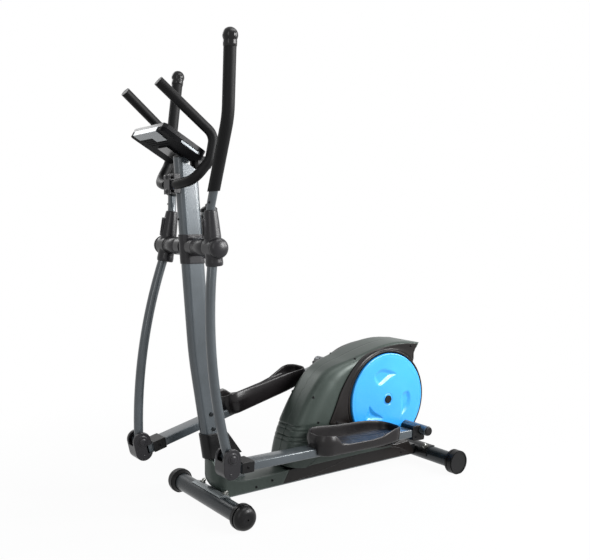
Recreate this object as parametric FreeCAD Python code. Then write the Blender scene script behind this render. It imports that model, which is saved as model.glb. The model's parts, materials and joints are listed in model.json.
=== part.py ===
"""Rear-drive magnetic elliptical trainer, one STEP file per separate piece.

Frame: X runs to the rear (crank end), Y to the user's right, Z up from the floor.
The user stands between the two pedal arms and faces the mast, towards -X.
All lengths are in millimetres and all angles in degrees.
"""
import FreeCAD, Part
import math
import os

V = FreeCAD.Vector
os.makedirs("parts", exist_ok=True)

# ---------------------------------------------------------------- driving sizes
FIT = 0.05            # running clearance between a shaft and its bore, on the radius
GAP = 0.5             # clearance between pieces that pass each other
SEAM = 0.4            # gap along a seam between two moulded shells
WALL = 3.0            # wall of the moulded covers

# stabilisers
FRONT_X = -390.0
REAR_X = 579.0
STAB_R = 30.0
STAB_WALL = 2.5
FRONT_HALF = 214.0    # half length of the front tube, up to its end caps
REAR_HALF = 214.0
FRONT_CAP_R = 43.0
REAR_CAP_R = 46.5
CAP_FLAT = 1.5        # depth of the flat foot cut on the bottom of each cap
COLLAR_LEN = 14.0     # fixed collar of a front cap
WHEEL_LEN = 30.0
WHEEL_R = 40.7
REAR_CAP_LEN = 33.0
BOLT_SIDE = 78.0      # sideways place of the stabiliser bolts

# main frame
RAIL_W = 60.0
RAIL_H = 40.0
RAIL_Z = 36.0         # underside of the rail
RAIL_WALL = 3.0
SADDLE_T = 4.0
SADDLE_HALF = 96.0

# mast: flat-sided oval tube, straight, one soft bend, straight
MAST_LONG = 80.0
MAST_WIDE = 40.0
MAST_WALL = 2.5
MAST_TOP = (-465.6, 1182.0)
MAST_KNEE = (-421.5, 540.0)
MAST_FOOT = (-379.0, 261.0)
MAST_BEND_R = 1500.0

# swing arms and pedal arms
PIVOT_X, PIVOT_Z = -455.4, 902.8
CRANK_X, CRANK_Z = 334.7, 302.8
CRANK_R = 144.8       # throw of the crank
CRANK_ANGLE = -50.7   # left crank pin, from +X towards +Z
SWING_LEN = 677.6     # pivot axle to lower joint
COUPLER_LEN = 836.4   # lower joint to crank pin
ARM_Y = 162.0         # middle plane of each arm
AXLE_R = 12.5
HUB_IN = 60.6         # inner end of the arm hub, from the middle plane
HUB_OUT = 193.0
SWING_TUBE_R = 16.0
SWING_TUBE_WALL = 2.5
SWING_BOW = 33.0      # how far the lower tube bows forward at its middle
HANDLE_R = 14.0
HANDLE_WALL = 2.0
GRIP_R = 19.2
BALL_R = 23.3
PIN_R = 8.0
PEDAL_TUBE_W = 60.0
PEDAL_TUBE_H = 30.0
CRANK_PIN_R = 10.0
PEDAL_SLEEVE_R = 18.5
KNOB_END = 232.0      # outer end of the pedal arm's rear cap

# crank, discs and drive
DISC_R = 176.5
DISC_OUT = 102.0      # outer face of the disc
DISC_IN = 88.0
CRANK_ARM_T = 12.0
SHAFT_R = 10.0
PULLEY_R = 115.0
BELT_Y0, BELT_Y1 = 38.0, 54.0
FLY_X, FLY_Z = 104.0, 244.0
FLY_R = 112.0
FLY_PULLEY_R = 20.0
FLY_Y0, FLY_Y1 = -32.0, -8.0
FLY_SHAFT_R = 8.0
IDLER_R = 18.0

# housing
HOUSE_HALF = 88.0
HOUSE_BASE = 108.0    # underside of the housing, top of the rail cover
WELL_R = 181.0        # round well in which the disc turns
WELL_FLOOR = 69.0
RIM_R = 191.0

# rail covers
COVER_HALF = 50.0
COVER_BASE = 48.0

# handlebar, console
BAR_R = 12.5
BAR_WALL = 2.0
BAR_GRIP_R = 16.0
GRIP_START = 34.0     # start of the foam, from the middle plane
CONSOLE_TILT = 30.7
CONSOLE_X, CONSOLE_Z = -535.0, 1220.0
CONSOLE_LONG = 164.0
CONSOLE_WIDE = 236.0
CONSOLE_BACK_T = 14.0
CONSOLE_FRONT_T = 14.0
BUTTON_R = 8.0

# bottle
BOTTLE_R = 28.0
BOTTLE_OFF = 75.0     # bottle axis behind the mast's middle line
BOTTLE_Z0, BOTTLE_Z1 = 866.0, 1018.0


# ---------------------------------------------------------------- helpers
def box(x0, x1, y0, y1, z0, z1):
    """Box between two corners."""
    return Part.makeBox(x1 - x0, y1 - y0, z1 - z0, V(x0, y0, z0))


def rod(x, z, r, y0, y1):
    """Cylinder along Y."""
    return Part.makeCylinder(r, y1 - y0, V(x, y0, z), V(0, 1, 0))


def ring(x, z, r_out, r_in, y0, y1):
    """Hollow cylinder along Y."""
    return rod(x, z, r_out, y0, y1).cut(rod(x, z, r_in, y0 - 1, y1 + 1))


def slab(points, y0, y1):
    """Polygon in the XZ plane, given thickness along Y."""
    wire = Part.makePolygon([V(x, y0, z) for x, z in points] + [V(points[0][0], y0, points[0][1])])
    return Part.Face(wire).extrude(V(0, y1 - y0, 0))


def sector(x, z, r_in, r_out, a0, a1, y0, y1):
    """Part of a ring along Y, between two angles from +X towards +Z."""
    def at(r, a):
        return V(x + r * math.cos(math.radians(a)), y0, z + r * math.sin(math.radians(a)))
    mid = (a0 + a1) / 2
    edges = [
        Part.Arc(at(r_out, a0), at(r_out, mid), at(r_out, a1)).toShape(),
        Part.LineSegment(at(r_out, a1), at(r_in, a1)).toShape(),
        Part.Arc(at(r_in, a1), at(r_in, mid), at(r_in, a0)).toShape(),
        Part.LineSegment(at(r_in, a0), at(r_out, a0)).toShape(),
    ]
    return Part.Face(Part.Wire(edges)).extrude(V(0, y1 - y0, 0))


def bar_between(x0, z0, r0, x1, z1, r1, y0, y1):
    """Flat bar with two round ends, along a line in the XZ plane."""
    run = math.hypot(x1 - x0, z1 - z0)
    lean = math.acos((r0 - r1) / run)
    head = math.atan2(z1 - z0, x1 - x0)
    corners = []
    for x, z, r in ((x0, z0, r0), (x1, z1, r1)):
        for side in (1, -1):
            a = head + side * lean
            corners.append((x + r * math.cos(a), z + r * math.sin(a)))
    web = slab([corners[0], corners[2], corners[3], corners[1]], y0, y1)
    return web.fuse([rod(x0, z0, r0, y0, y1), rod(x1, z1, r1, y0, y1)]).removeSplitter()


def oval(middle, along, length, width):
    """Closed flat-sided oval wire; its short side lies along Y."""
    r = width / 2
    side = V(0, 1, 0)
    reach = V(along).multiply(length / 2 - r)
    a, b = middle + reach, middle - reach
    w = V(side).multiply(r)
    tip = V(along).multiply(r)
    edges = [
        Part.LineSegment(b + w, a + w).toShape(),
        Part.Arc(a + w, a + tip, a - w).toShape(),
        Part.LineSegment(a - w, b - w).toShape(),
        Part.Arc(b - w, b - tip, b + w).toShape(),
    ]
    return Part.Wire(edges)


def route(points, radii):
    """Straight runs joined by tangent arcs; radii holds one radius for each inner point."""
    edges = []
    here = points[0]
    for i in range(1, len(points) - 1):
        corner = points[i]
        u_in = (corner - points[i - 1]).normalize()
        u_out = (points[i + 1] - corner).normalize()
        half = u_in.getAngle(u_out) / 2
        room = 0.45 * min((corner - points[i - 1]).Length, (points[i + 1] - corner).Length)
        back = min(radii[i - 1] * math.tan(half), room)
        r = back / math.tan(half)
        a = corner - V(u_in).multiply(back)
        b = corner + V(u_out).multiply(back)
        inward = (u_out - u_in).normalize()
        mid = corner + inward.multiply(r / math.cos(half) - r)
        edges.append(Part.LineSegment(here, a).toShape())
        edges.append(Part.Arc(a, mid, b).toShape())
        here = b
    edges.append(Part.LineSegment(here, points[-1]).toShape())
    return Part.Wire(edges)


def sweep(path, profile):
    """Solid made by moving a closed wire along a path."""
    return path.makePipeShell([profile], True, False)


def pipe(points, radii, r):
    """Round solid bar along a route."""
    path = route(points, radii)
    normal = (points[1] - points[0]).normalize()
    return sweep(path, Part.Wire(Part.makeCircle(r, points[0], normal)))


def hollow_pipe(points, radii, r, wall):
    """Round tube along a route, open at both ends."""
    return pipe(points, radii, r).cut(pipe(points, radii, r - wall))


def mirror(shape):
    """Same shape on the other side of the middle plane."""
    return shape.mirror(V(0, 0, 0), V(0, 1, 0))


def both(shape):
    """The shape and its mirror image, as two solids."""
    return [shape, mirror(shape)]


def turned(shape, x, z, degrees):
    """Copy turned about a line along Y."""
    out = shape.copy()
    out.rotate(V(x, 0, z), V(0, 1, 0), degrees)
    return out


def moved(shape, x, y, z):
    """Copy moved by a vector."""
    out = shape.copy()
    out.translate(V(x, y, z))
    return out


def bolt(at, axis, shank_r, shank_len, head_r, head_len):
    """Domed head on a plain shank; at is the seat of the head, axis points out of the head."""
    out = V(axis).normalize()
    shank = Part.makeCylinder(shank_r, shank_len, at - V(out).multiply(shank_len), out)
    head = Part.makeCylinder(head_r, head_len * 0.5, at, out)
    dome = Part.makeCone(head_r, head_r * 0.55, head_len * 0.5, at + V(out).multiply(head_len * 0.5), out)
    return shank.fuse([head, dome]).removeSplitter()


def save(name, *shapes):
    """Writes one node; a list or a compound keeps its solids apart."""
    solids = []
    for shape in shapes:
        for piece in (shape if isinstance(shape, list) else [shape]):
            solids.extend(piece.Solids)
    Part.makeCompound(solids).exportStep("parts/%s.step" % name)


# ---------------------------------------------------------------- linkage at rest
def lower_meet(ax, az, ar, bx, bz, br):
    """Lower crossing point of two circles in the XZ plane."""
    run = math.hypot(bx - ax, bz - az)
    along = (ar * ar - br * br + run * run) / (2 * run)
    off = math.sqrt(ar * ar - along * along)
    ux, uz = (bx - ax) / run, (bz - az) / run
    px, pz = ax + ux * along, az + uz * along
    return min([(px - uz * off, pz + ux * off), (px + uz * off, pz - ux * off)], key=lambda p: p[1])


def linkage(crank_angle):
    """Crank pin, lower joint and the two arms' angles for one side."""
    a = math.radians(crank_angle)
    pin = (CRANK_X + CRANK_R * math.cos(a), CRANK_Z + CRANK_R * math.sin(a))
    joint = lower_meet(PIVOT_X, PIVOT_Z, SWING_LEN, pin[0], pin[1], COUPLER_LEN)
    swing = -math.degrees(math.atan2(joint[0] - PIVOT_X, PIVOT_Z - joint[1]))
    pedal = -math.degrees(math.atan2(pin[1] - joint[1], pin[0] - joint[0]))
    return {"pin": pin, "joint": joint, "swing": swing, "pedal": pedal}


LEFT = linkage(CRANK_ANGLE)
RIGHT = linkage(CRANK_ANGLE + 180)


def mast_slope():
    """Unit vectors of the upper run: down the mast, and forward across it."""
    down = V(MAST_KNEE[0] - MAST_TOP[0], 0, MAST_KNEE[1] - MAST_TOP[1]).normalize()
    return down, V(down.z, 0, -down.x)


def mast_x(z):
    """X of the mast's middle line at a height on its upper run."""
    t = (z - MAST_TOP[1]) / (MAST_KNEE[1] - MAST_TOP[1])
    return MAST_TOP[0] + t * (MAST_KNEE[0] - MAST_TOP[0])


def foot_x(z):
    """X of the mast's middle line at a height on its lower run, and below it."""
    t = (z - MAST_KNEE[1]) / (MAST_FOOT[1] - MAST_KNEE[1])
    return MAST_KNEE[0] + t * (MAST_FOOT[0] - MAST_KNEE[0])


def foot_run(z_low, z_high, length, width):
    """Solid oval bar on the mast's lower line, cut level at both ends."""
    a = V(foot_x(z_low - 30), 0, z_low - 30)
    b = V(foot_x(z_high + 30), 0, z_high + 30)
    along = (b - a).normalize()
    face = Part.Face(oval(a, V(along.z, 0, -along.x), length, width))
    bar = face.extrude(b - a)
    return bar.common(box(-700, 0, -200, 200, z_low, z_high))


# ---------------------------------------------------------------- frame and stabilisers
FRONT_Z = FRONT_CAP_R - CAP_FLAT
REAR_Z = REAR_CAP_R - CAP_FLAT
RAIL_TOP = RAIL_Z + RAIL_H
STUB_LONG = MAST_LONG - 2 * MAST_WALL - 2 * GAP
STUB_WIDE = MAST_WIDE - 2 * MAST_WALL - 2 * GAP
STUB_TOP = MAST_FOOT[1] + 90
POST_X0, POST_X1 = -377.0, -333.0
POST_HALF = 14.0
POST_TOP = 200.0
BOOT_BASE = 181.0
SHELL_R = 27.0        # bottom bracket shell
SHELL_HALF = 34.0
BEARING_R = 21.0
BEARING_W = 12.0
LUG_T = 5.0
LUG_LEFT = FLY_Y0 - 12.0
LUG_RIGHT = FLY_Y1 + 24.0
FLY_BEARING_R = 14.0
MAGNET_GAP = 4.0
MAGNET_T = 6.0
MAGNET_PLATE_T = 4.0
MAGNET_PIVOT_A = 58.0  # place of the magnet bracket's pivot round the flywheel
MAGNET_PIVOT_R = FLY_R + MAGNET_GAP + MAGNET_T + MAGNET_PLATE_T / 2
MAGNET_PIN_R = 5.0
MAGNET_X = FLY_X + MAGNET_PIVOT_R * math.cos(math.radians(MAGNET_PIVOT_A))
MAGNET_Z = FLY_Z + MAGNET_PIVOT_R * math.sin(math.radians(MAGNET_PIVOT_A))


def rail():
    """Square-cornered main tube between the two saddles."""
    x0 = FRONT_X + STAB_R + 1
    x1 = REAR_X - STAB_R - 1
    half = RAIL_W / 2
    outer = box(x0, x1, -half, half, RAIL_Z, RAIL_TOP)
    t = RAIL_WALL
    inner = box(x0 + 8, x1 - 8, -half + t, half - t, RAIL_Z + t, RAIL_TOP - t)
    return outer.cut(inner)


def saddle(x, z, a0, a1):
    """Curved plate on which a stabiliser tube is bolted."""
    return sector(x, z, STAB_R + 0.2, STAB_R + 0.2 + SADDLE_T, a0, a1, -SADDLE_HALF, SADDLE_HALF)


def main_frame():
    """Welded frame: rail, saddles, mast stub, crank post, shell, lugs and brackets."""
    stub = foot_run(POST_TOP - 12, STUB_TOP, STUB_LONG, STUB_WIDE)
    stub = stub.cut(foot_run(POST_TOP, STUB_TOP + 20, STUB_LONG - 6, STUB_WIDE - 6))
    stub = stub.fuse(box(POST_X0, POST_X1, -POST_HALF, POST_HALF, RAIL_TOP - 1, POST_TOP))
    post = box(CRANK_X - 25, CRANK_X + 25, -25, 25, RAIL_TOP - 1, CRANK_Z)
    post = post.cut(box(CRANK_X - 22, CRANK_X + 22, -22, 22, RAIL_TOP + 5, CRANK_Z - SHELL_R))
    shell = rod(CRANK_X, CRANK_Z, SHELL_R, -SHELL_HALF, SHELL_HALF)
    foot = box(FLY_X - 45, FLY_X + 45, LUG_LEFT, LUG_RIGHT, RAIL_TOP - 1, RAIL_TOP + 6)
    lugs = []
    for y in (LUG_LEFT, LUG_RIGHT - LUG_T):
        plate = slab([(FLY_X - 45, RAIL_TOP), (FLY_X + 45, RAIL_TOP), (FLY_X + 22, FLY_Z), (FLY_X - 22, FLY_Z)],
                     y, y + LUG_T)
        lugs.append(plate.fuse(rod(FLY_X, FLY_Z, 22, y, y + LUG_T)))
    strut = bar_between(CRANK_X, CRANK_Z, 14, MAGNET_X, MAGNET_Z, 9, -SHELL_HALF, -SHELL_HALF + LUG_T)
    magnet_pin = rod(MAGNET_X, MAGNET_Z, MAGNET_PIN_R, -SHELL_HALF, -6)
    body = rail().fuse([saddle(FRONT_X, FRONT_Z, -12, 118), saddle(REAR_X, REAR_Z, 62, 192),
                        stub, gusset(5), post, shell, foot, strut, magnet_pin, idler_arm()] + lugs)
    body = body.cut(rod(CRANK_X, CRANK_Z, BEARING_R, -SHELL_HALF - 1, SHELL_HALF + 1))
    body = body.cut(rod(FLY_X, FLY_Z, FLY_BEARING_R, LUG_LEFT - 1, LUG_RIGHT + 1))
    for at, axis in stabiliser_bolt_places() + mast_bolt_places():
        body = body.cut(Part.makeCylinder(4.5, 120, at - V(axis).multiply(90), axis))
    return body.removeSplitter()


def stabiliser_bolt_places():
    """Seats and outward axes of the four stabiliser bolts' nuts."""
    places = []
    reach = STAB_R + 0.2 + SADDLE_T
    for x, z, angle in ((FRONT_X, FRONT_Z, 58), (REAR_X, REAR_Z, 122)):
        a = math.radians(angle)
        out = V(math.cos(a), 0, math.sin(a))
        for y in (-BOLT_SIDE, BOLT_SIDE):
            places.append((V(x, y, z) + V(out).multiply(reach), out))
    return places


def mast_bolt_places():
    """Seats and outward axes of the bolts that hold the mast on its stub."""
    return [(V(foot_x(z), -MAST_WIDE / 2, z), V(0, -1, 0)) for z in (MAST_FOOT[1] + 22, MAST_FOOT[1] + 74)]


def frame_bolts():
    """Carriage bolts with washers and domed nuts, and the mast's bolts."""
    pieces = []
    for at, axis in stabiliser_bolt_places():
        washer = Part.makeCylinder(12, 2, at, axis)
        nut = Part.makeCylinder(7.5, 7, at + V(axis).multiply(2), axis)
        cap = Part.makeCone(7.5, 4, 5, at + V(axis).multiply(9), axis)
        shank = Part.makeCylinder(4.4, 2 * STAB_R + 4, at - V(axis).multiply(2 * STAB_R + 4), axis)
        pieces.append(washer.fuse([nut, cap, shank]).removeSplitter())
    for at, axis in mast_bolt_places():
        pieces.append(bolt(at, axis, 4.4, MAST_WIDE - 4, 7.5, 5))
    return pieces


def stabiliser(x, z, half, seat_angle):
    """Cross tube, drilled for its two bolts."""
    tube = ring(x, z, STAB_R, STAB_R - STAB_WALL, -half, half)
    a = math.radians(seat_angle)
    out = V(math.cos(a), 0, math.sin(a))
    for y in (-BOLT_SIDE, BOLT_SIDE):
        tube = tube.cut(Part.makeCylinder(4.4, 120, V(x, y, z) - V(out).multiply(60), out))
    return tube


def front_collar():
    """Fixed collar of the left front cap, with its flat foot and the wheel's spigot."""
    y1 = -FRONT_HALF + 6
    y0 = y1 - COLLAR_LEN
    body = rod(FRONT_X, FRONT_Z, FRONT_CAP_R, y0, y1)
    neck = Part.makeCone(FRONT_CAP_R - 2, STAB_R + 3, 12, V(FRONT_X, y1, FRONT_Z), V(0, 1, 0))
    plug = rod(FRONT_X, FRONT_Z, STAB_R - STAB_WALL, -FRONT_HALF, -FRONT_HALF + 20)
    body = body.fuse(neck)
    body = body.cut(rod(FRONT_X, FRONT_Z, STAB_R, -FRONT_HALF, -FRONT_HALF + 40))
    body = body.fuse([plug, rod(FRONT_X, FRONT_Z, 8, y0 - WHEEL_LEN + 4, y0)])
    return body.cut(box(FRONT_X - 90, FRONT_X + 90, -300, 0, -10, 0)).removeSplitter()


def transport_wheel():
    """Dome-shaped roller that turns on the left front collar's spigot."""
    y1 = -FRONT_HALF + 6 - COLLAR_LEN - 0.6
    y0 = y1 - WHEEL_LEN
    profile = [
        Part.LineSegment(V(0, y1, 0), V(WHEEL_R - 3, y1, 0)).toShape(),
        Part.Arc(V(WHEEL_R - 3, y1, 0), V(WHEEL_R - 1, y1 - 1, 0), V(WHEEL_R, y1 - 3, 0)).toShape(),
        Part.LineSegment(V(WHEEL_R, y1 - 3, 0), V(WHEEL_R, y1 - 10, 0)).toShape(),
        Part.Arc(V(WHEEL_R, y1 - 10, 0), V(WHEEL_R * 0.8, y0 + 6, 0), V(12, y0, 0)).toShape(),
        Part.LineSegment(V(12, y0, 0), V(0, y0, 0)).toShape(),
        Part.LineSegment(V(0, y0, 0), V(0, y1, 0)).toShape(),
    ]
    dome = Part.Face(Part.Wire(profile)).revolve(V(0, 0, 0), V(0, 1, 0), 360)
    dome = dome.cut(rod(0, 0, 8 + FIT, y0 + 3.5, y1 + 1))
    dome = dome.cut(rod(0, 0, 3, y0 - 1, y0 + 5))
    return moved(dome, FRONT_X, 0, FRONT_Z)


def rear_cap():
    """Left rear end cap: a collar with a recessed flat disc."""
    y1 = -REAR_HALF + 4
    y0 = y1 - REAR_CAP_LEN
    body = rod(REAR_X, REAR_Z, REAR_CAP_R, y0, y1)
    edge = ring(REAR_X, REAR_Z, REAR_CAP_R + 1, REAR_CAP_R - 3, y0 - 1, y0 + 2.5)
    body = body.cut(edge)
    body = body.cut(ring(REAR_X, REAR_Z, REAR_CAP_R + 1, REAR_CAP_R - 3, y1 - 12, y1 - 9))
    body = body.cut(rod(REAR_X, REAR_Z, STAB_R, -REAR_HALF, y1 + 1))
    body = body.cut(rod(REAR_X, REAR_Z, REAR_CAP_R - 7, y0 - 1, y0 + 2))
    return body.cut(box(REAR_X - 90, REAR_X + 90, -300, 0, -10, 0)).removeSplitter()


# ---------------------------------------------------------------- mast and what it carries
CONSOLE_U = V(math.cos(math.radians(CONSOLE_TILT)), 0, -math.sin(math.radians(CONSOLE_TILT)))
CONSOLE_N = V(math.sin(math.radians(CONSOLE_TILT)), 0, math.cos(math.radians(CONSOLE_TILT)))
BRACKET_T = 5.0
BOSS_R = 24.0
BOSS_HALF = 57.0
COLLAR_Z0, COLLAR_Z1 = 846.0, 943.0
COLLAR_T = 3.0
COLLAR_BOSS_R = 28.0


def on_console(shape):
    """Places a shape drawn on the console's back face: X down the slope, Z out of the face."""
    out = turned(shape, 0, 0, CONSOLE_TILT)
    return moved(out, CONSOLE_X, 0, CONSOLE_Z)


def mast_path(top_extra):
    """Middle line of the mast."""
    down, _ = mast_slope()
    top = V(MAST_TOP[0], 0, MAST_TOP[1]) - V(down).multiply(top_extra)
    knee = V(MAST_KNEE[0], 0, MAST_KNEE[1])
    foot = V(MAST_FOOT[0], 0, MAST_FOOT[1])
    return route([top, knee, foot], [MAST_BEND_R]), top


def mast():
    """Oval post with the pivot boss across it and the console's plate on its top."""
    _, across = mast_slope()
    path, top = mast_path(70)
    outer = sweep(path, oval(top, across, MAST_LONG, MAST_WIDE))
    inner = sweep(path, oval(top, across, MAST_LONG - 2 * MAST_WALL, MAST_WIDE - 2 * MAST_WALL))
    tube = outer.cut(inner)
    above = on_console(box(-300, 300, -100, 100, -BRACKET_T - 2, 300))
    tube = tube.cut(above)
    plate = on_console(box(-10, 80, -34, 34, -BRACKET_T - 2, -0.2))
    boss = rod(PIVOT_X, PIVOT_Z, BOSS_R, -BOSS_HALF, BOSS_HALF)
    body = tube.fuse([plate, boss])
    body = body.cut(rod(PIVOT_X, PIVOT_Z, AXLE_R, -BOSS_HALF - 1, BOSS_HALF + 1))
    for at, axis in mast_bolt_places():
        body = body.cut(Part.makeCylinder(4.4, 60, at - V(axis).multiply(50), axis))
    return body.removeSplitter()


def upper_run(z_low, z_high, length, width):
    """Solid oval bar on the mast's upper line, cut level at both ends."""
    a = V(mast_x(z_low - 30), 0, z_low - 30)
    b = V(mast_x(z_high + 30), 0, z_high + 30)
    along = (b - a).normalize()
    face = Part.Face(oval(a, V(along.z, 0, -along.x), length, width))
    return face.extrude(b - a).common(box(-700, 0, -300, 300, z_low, z_high))


def pivot_collar():
    """Two moulded shells round the mast at the pivot, each with a round boss."""
    t = 2 * COLLAR_T
    body = upper_run(COLLAR_Z0, COLLAR_Z1, MAST_LONG + t, MAST_WIDE + t)
    body = body.fuse(rod(PIVOT_X, PIVOT_Z, COLLAR_BOSS_R, -HUB_IN + GAP, HUB_IN - GAP))
    body = body.cut(upper_run(COLLAR_Z0 - 5, COLLAR_Z1 + 5, MAST_LONG + GAP, MAST_WIDE + GAP))
    body = body.cut(rod(PIVOT_X, PIVOT_Z, BOSS_R + GAP / 2, -BOSS_HALF - GAP, BOSS_HALF + GAP))
    body = body.cut(rod(PIVOT_X, PIVOT_Z, AXLE_R + 1, -100, 100))
    return [body.common(box(-700, 0, -300, -SEAM / 2, 0, 2000)), body.common(box(-700, 0, SEAM / 2, 300, 0, 2000))]


def pivot_axle():
    """Shaft through the mast on which both arms swing, with a washer and bolt head at each end."""
    end = HUB_OUT - 3
    axle = rod(PIVOT_X, PIVOT_Z, AXLE_R, -end, end)
    for side in (-1, 1):
        y0 = min(side * end, side * (end + 2.5))
        axle = axle.fuse(rod(PIVOT_X, PIVOT_Z, AXLE_R + 4, y0, y0 + 2.5))
        head = min(side * (end + 2.5), side * (end + 8.5))
        axle = axle.fuse(rod(PIVOT_X, PIVOT_Z, 8, head, head + 6))
    return axle.removeSplitter()


def mast_boot():
    """Black cover round the mast's seat, with the fin over the gusset behind it."""
    low = BOOT_BASE
    rim = MAST_FOOT[1]
    outer = foot_run(low, rim + 7, MAST_LONG + 10, MAST_WIDE + 10)
    fin = slab([(foot_x(262), 262), (foot_x(262) + 56, 262), (-266, low), (foot_x(low), low)], -15, 15)
    body = outer.fuse(fin)
    body = body.cut(foot_run(POST_TOP - 14, 330, STUB_LONG + 1, STUB_WIDE + 1))
    body = body.cut(foot_run(rim - 7, 330, MAST_LONG + 0.8, MAST_WIDE + 0.8))
    slot = [(POST_X0 - 1, low - 9), (POST_X0 - 1, POST_TOP + 2), (POST_X1 + 1, POST_TOP + 2), (POST_X1 + 1, low - 9)]
    body = body.cut(slab(slot, -POST_HALF - 1, POST_HALF + 1))
    return body.cut(gusset(6))


def gusset(half):
    """Triangular plate behind the mast's post."""
    corner = (POST_X1 - 2, RAIL_TOP - 1)
    points = [(POST_X1 - 2, 240), (POST_X1 + 14, 240), (-272, 160), (-262, 120), (-240, RAIL_TOP - 1), corner]
    return slab(points, -half, half)


# ---------------------------------------------------------------- fixed handlebar
CLAMP_Z = 1104.0
BAR_X = mast_x(CLAMP_Z) - MAST_LONG / 2 - 4 - BAR_R
BAR_POINTS = [  # right half, from the clamp to the free end
    V(BAR_X, 0, CLAMP_Z), V(BAR_X, 53, CLAMP_Z), V(-499, 124, 1115), V(-455, 146, 1175),
    V(-434, 137, 1254), V(-614, 124, 1404),
]
BAR_BENDS = [120, 60, 52, 42]


def bar_half(r):
    """Right half of a bar along the handlebar's middle line."""
    return pipe(BAR_POINTS, BAR_BENDS, r)


def pulse_bar():
    """Bent steel handlebar, one piece from end to end."""
    solid = bar_half(BAR_R).fuse(mirror(bar_half(BAR_R)))
    bore = bar_half(BAR_R - BAR_WALL).fuse(mirror(bar_half(BAR_R - BAR_WALL)))
    return solid.cut(bore).removeSplitter()


def pulse_grips():
    """Foam over the handlebar from the clamp to each end, closed by an end plug."""
    foam = bar_half(BAR_GRIP_R).cut(bar_half(BAR_R)).cut(box(-700, -400, -GRIP_START, GRIP_START, 1000, 1200))
    end, corner = BAR_POINTS[-1], BAR_POINTS[-2]
    out = (end - corner).normalize()
    plug = Part.makeCylinder(BAR_GRIP_R, 3, end, out)
    return both(foam.fuse(plug).removeSplitter())


def bar_clamp():
    """Saddle, front plate and two bolts that hold the handlebar on the mast."""
    front = mast_x(CLAMP_Z) - MAST_LONG / 2
    saddle_block = box(BAR_X - 1, front + 6, -21, 21, CLAMP_Z - 28, CLAMP_Z + 34)
    saddle_block = saddle_block.cut(rod(BAR_X, CLAMP_Z, BAR_R + 0.2, -60, 60))
    saddle_block = saddle_block.cut(upper_run(CLAMP_Z - 60, CLAMP_Z + 60, MAST_LONG + 0.4, MAST_WIDE + 0.4))
    plate = box(BAR_X - BAR_R - 4.4, BAR_X - 1.6, -21, 21, CLAMP_Z - 32, CLAMP_Z + 30)
    plate = plate.cut(rod(BAR_X, CLAMP_Z, BAR_R + 0.2, -60, 60))
    plate = plate.cut(box(BAR_X - BAR_R - 0.4, BAR_X, -30, 30, CLAMP_Z + 17, CLAMP_Z + 40))
    plate = plate.cut(box(BAR_X - BAR_R - 0.4, BAR_X, -30, 30, CLAMP_Z - 40, CLAMP_Z - 17))
    pieces = [plate, saddle_block]
    for z in (CLAMP_Z - 22.5, CLAMP_Z + 22.5):
        hole = Part.makeCylinder(4.2, 60, V(BAR_X - 30, 0, z), V(1, 0, 0))
        pieces = [piece.cut(hole) for piece in pieces]
        pieces.append(bolt(V(BAR_X - BAR_R - 4.4, 0, z), V(-1, 0, 0), 4, 28, 7, 5))
    return pieces


# ---------------------------------------------------------------- console
CONSOLE_TOP = CONSOLE_BACK_T + CONSOLE_FRONT_T
BUTTON_U = 52.0
BUTTON_YS = (-26.0, 26.0)


def console_block(w0, w1, shrink):
    """Rounded block of the console between two heights above its back face."""
    half_u, half_y = CONSOLE_LONG / 2 - shrink, CONSOLE_WIDE / 2 - shrink
    block = box(-half_u, half_u, -half_y, half_y, w0, w1)
    uprights = [e for e in block.Edges if abs(e.Vertexes[0].Point.z - e.Vertexes[1].Point.z) > 1]
    return block.makeFillet(14 - shrink, uprights)


def console_back():
    """Rear shell, ribbed across its back."""
    shell = console_block(0, CONSOLE_BACK_T, 0).cut(console_block(WALL, CONSOLE_BACK_T + 1, WALL))
    for i in range(5):
        u = -22.0 - 9.0 * i
        shell = shell.cut(box(u, u + 3, -70, 70, -1, 1.2))
    return on_console(shell)


def console_front():
    """Front shell with the display opening, the button holes and the tablet ledge."""
    z0 = CONSOLE_BACK_T + SEAM
    shell = console_block(z0, CONSOLE_TOP, 0).cut(console_block(z0 - 1, CONSOLE_TOP - WALL, WALL))
    shell = shell.cut(box(-62, 8, -62, 62, z0, CONSOLE_TOP + 1))
    for y in BUTTON_YS:
        shell = shell.cut(Part.makeCylinder(BUTTON_R + GAP, 40, V(BUTTON_U, y, z0 - 2)))
    ledge = box(74, 88, -75, 75, CONSOLE_TOP - 1, CONSOLE_TOP + 10).cut(
        box(70, 84, -80, 80, CONSOLE_TOP + 0.01, CONSOLE_TOP + 30))
    return on_console(shell.fuse(ledge).removeSplitter())


def console_window():
    """Display lens, set in the front shell's opening."""
    return on_console(box(-61.6, 7.6, -61.6, 61.6, CONSOLE_TOP - 5, CONSOLE_TOP - 0.8))


def console_trim():
    """Silver cover over the top edge of the back, and a strip along each side."""
    top = box(-CONSOLE_LONG / 2 - 2.4, -CONSOLE_LONG / 2 + 26, -84, 84, -2.4, CONSOLE_BACK_T)
    tongue = box(-CONSOLE_LONG / 2 + 20, -CONSOLE_LONG / 2 + 46, -78, -6, -2.4, 0)
    top = top.fuse(tongue)
    top = top.cut(box(-CONSOLE_LONG / 2 - 0.2, 200, -100, 100, -0.2, 60))
    strip = box(-10, 62, -CONSOLE_WIDE / 2 - 2.2, -CONSOLE_WIDE / 2 - 0.2, 4, 11)
    return [on_console(top.removeSplitter())] + both(on_console(strip))


def console_button(y):
    """Round key that slides into the console's face."""
    key = Part.makeCylinder(BUTTON_R, 14.2, V(BUTTON_U, y, CONSOLE_TOP - 11.2))
    flange = Part.makeCylinder(BUTTON_R + 2, 2, V(BUTTON_U, y, CONSOLE_TOP - WALL - 2.3))
    return on_console(key.fuse(flange).removeSplitter())


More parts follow.
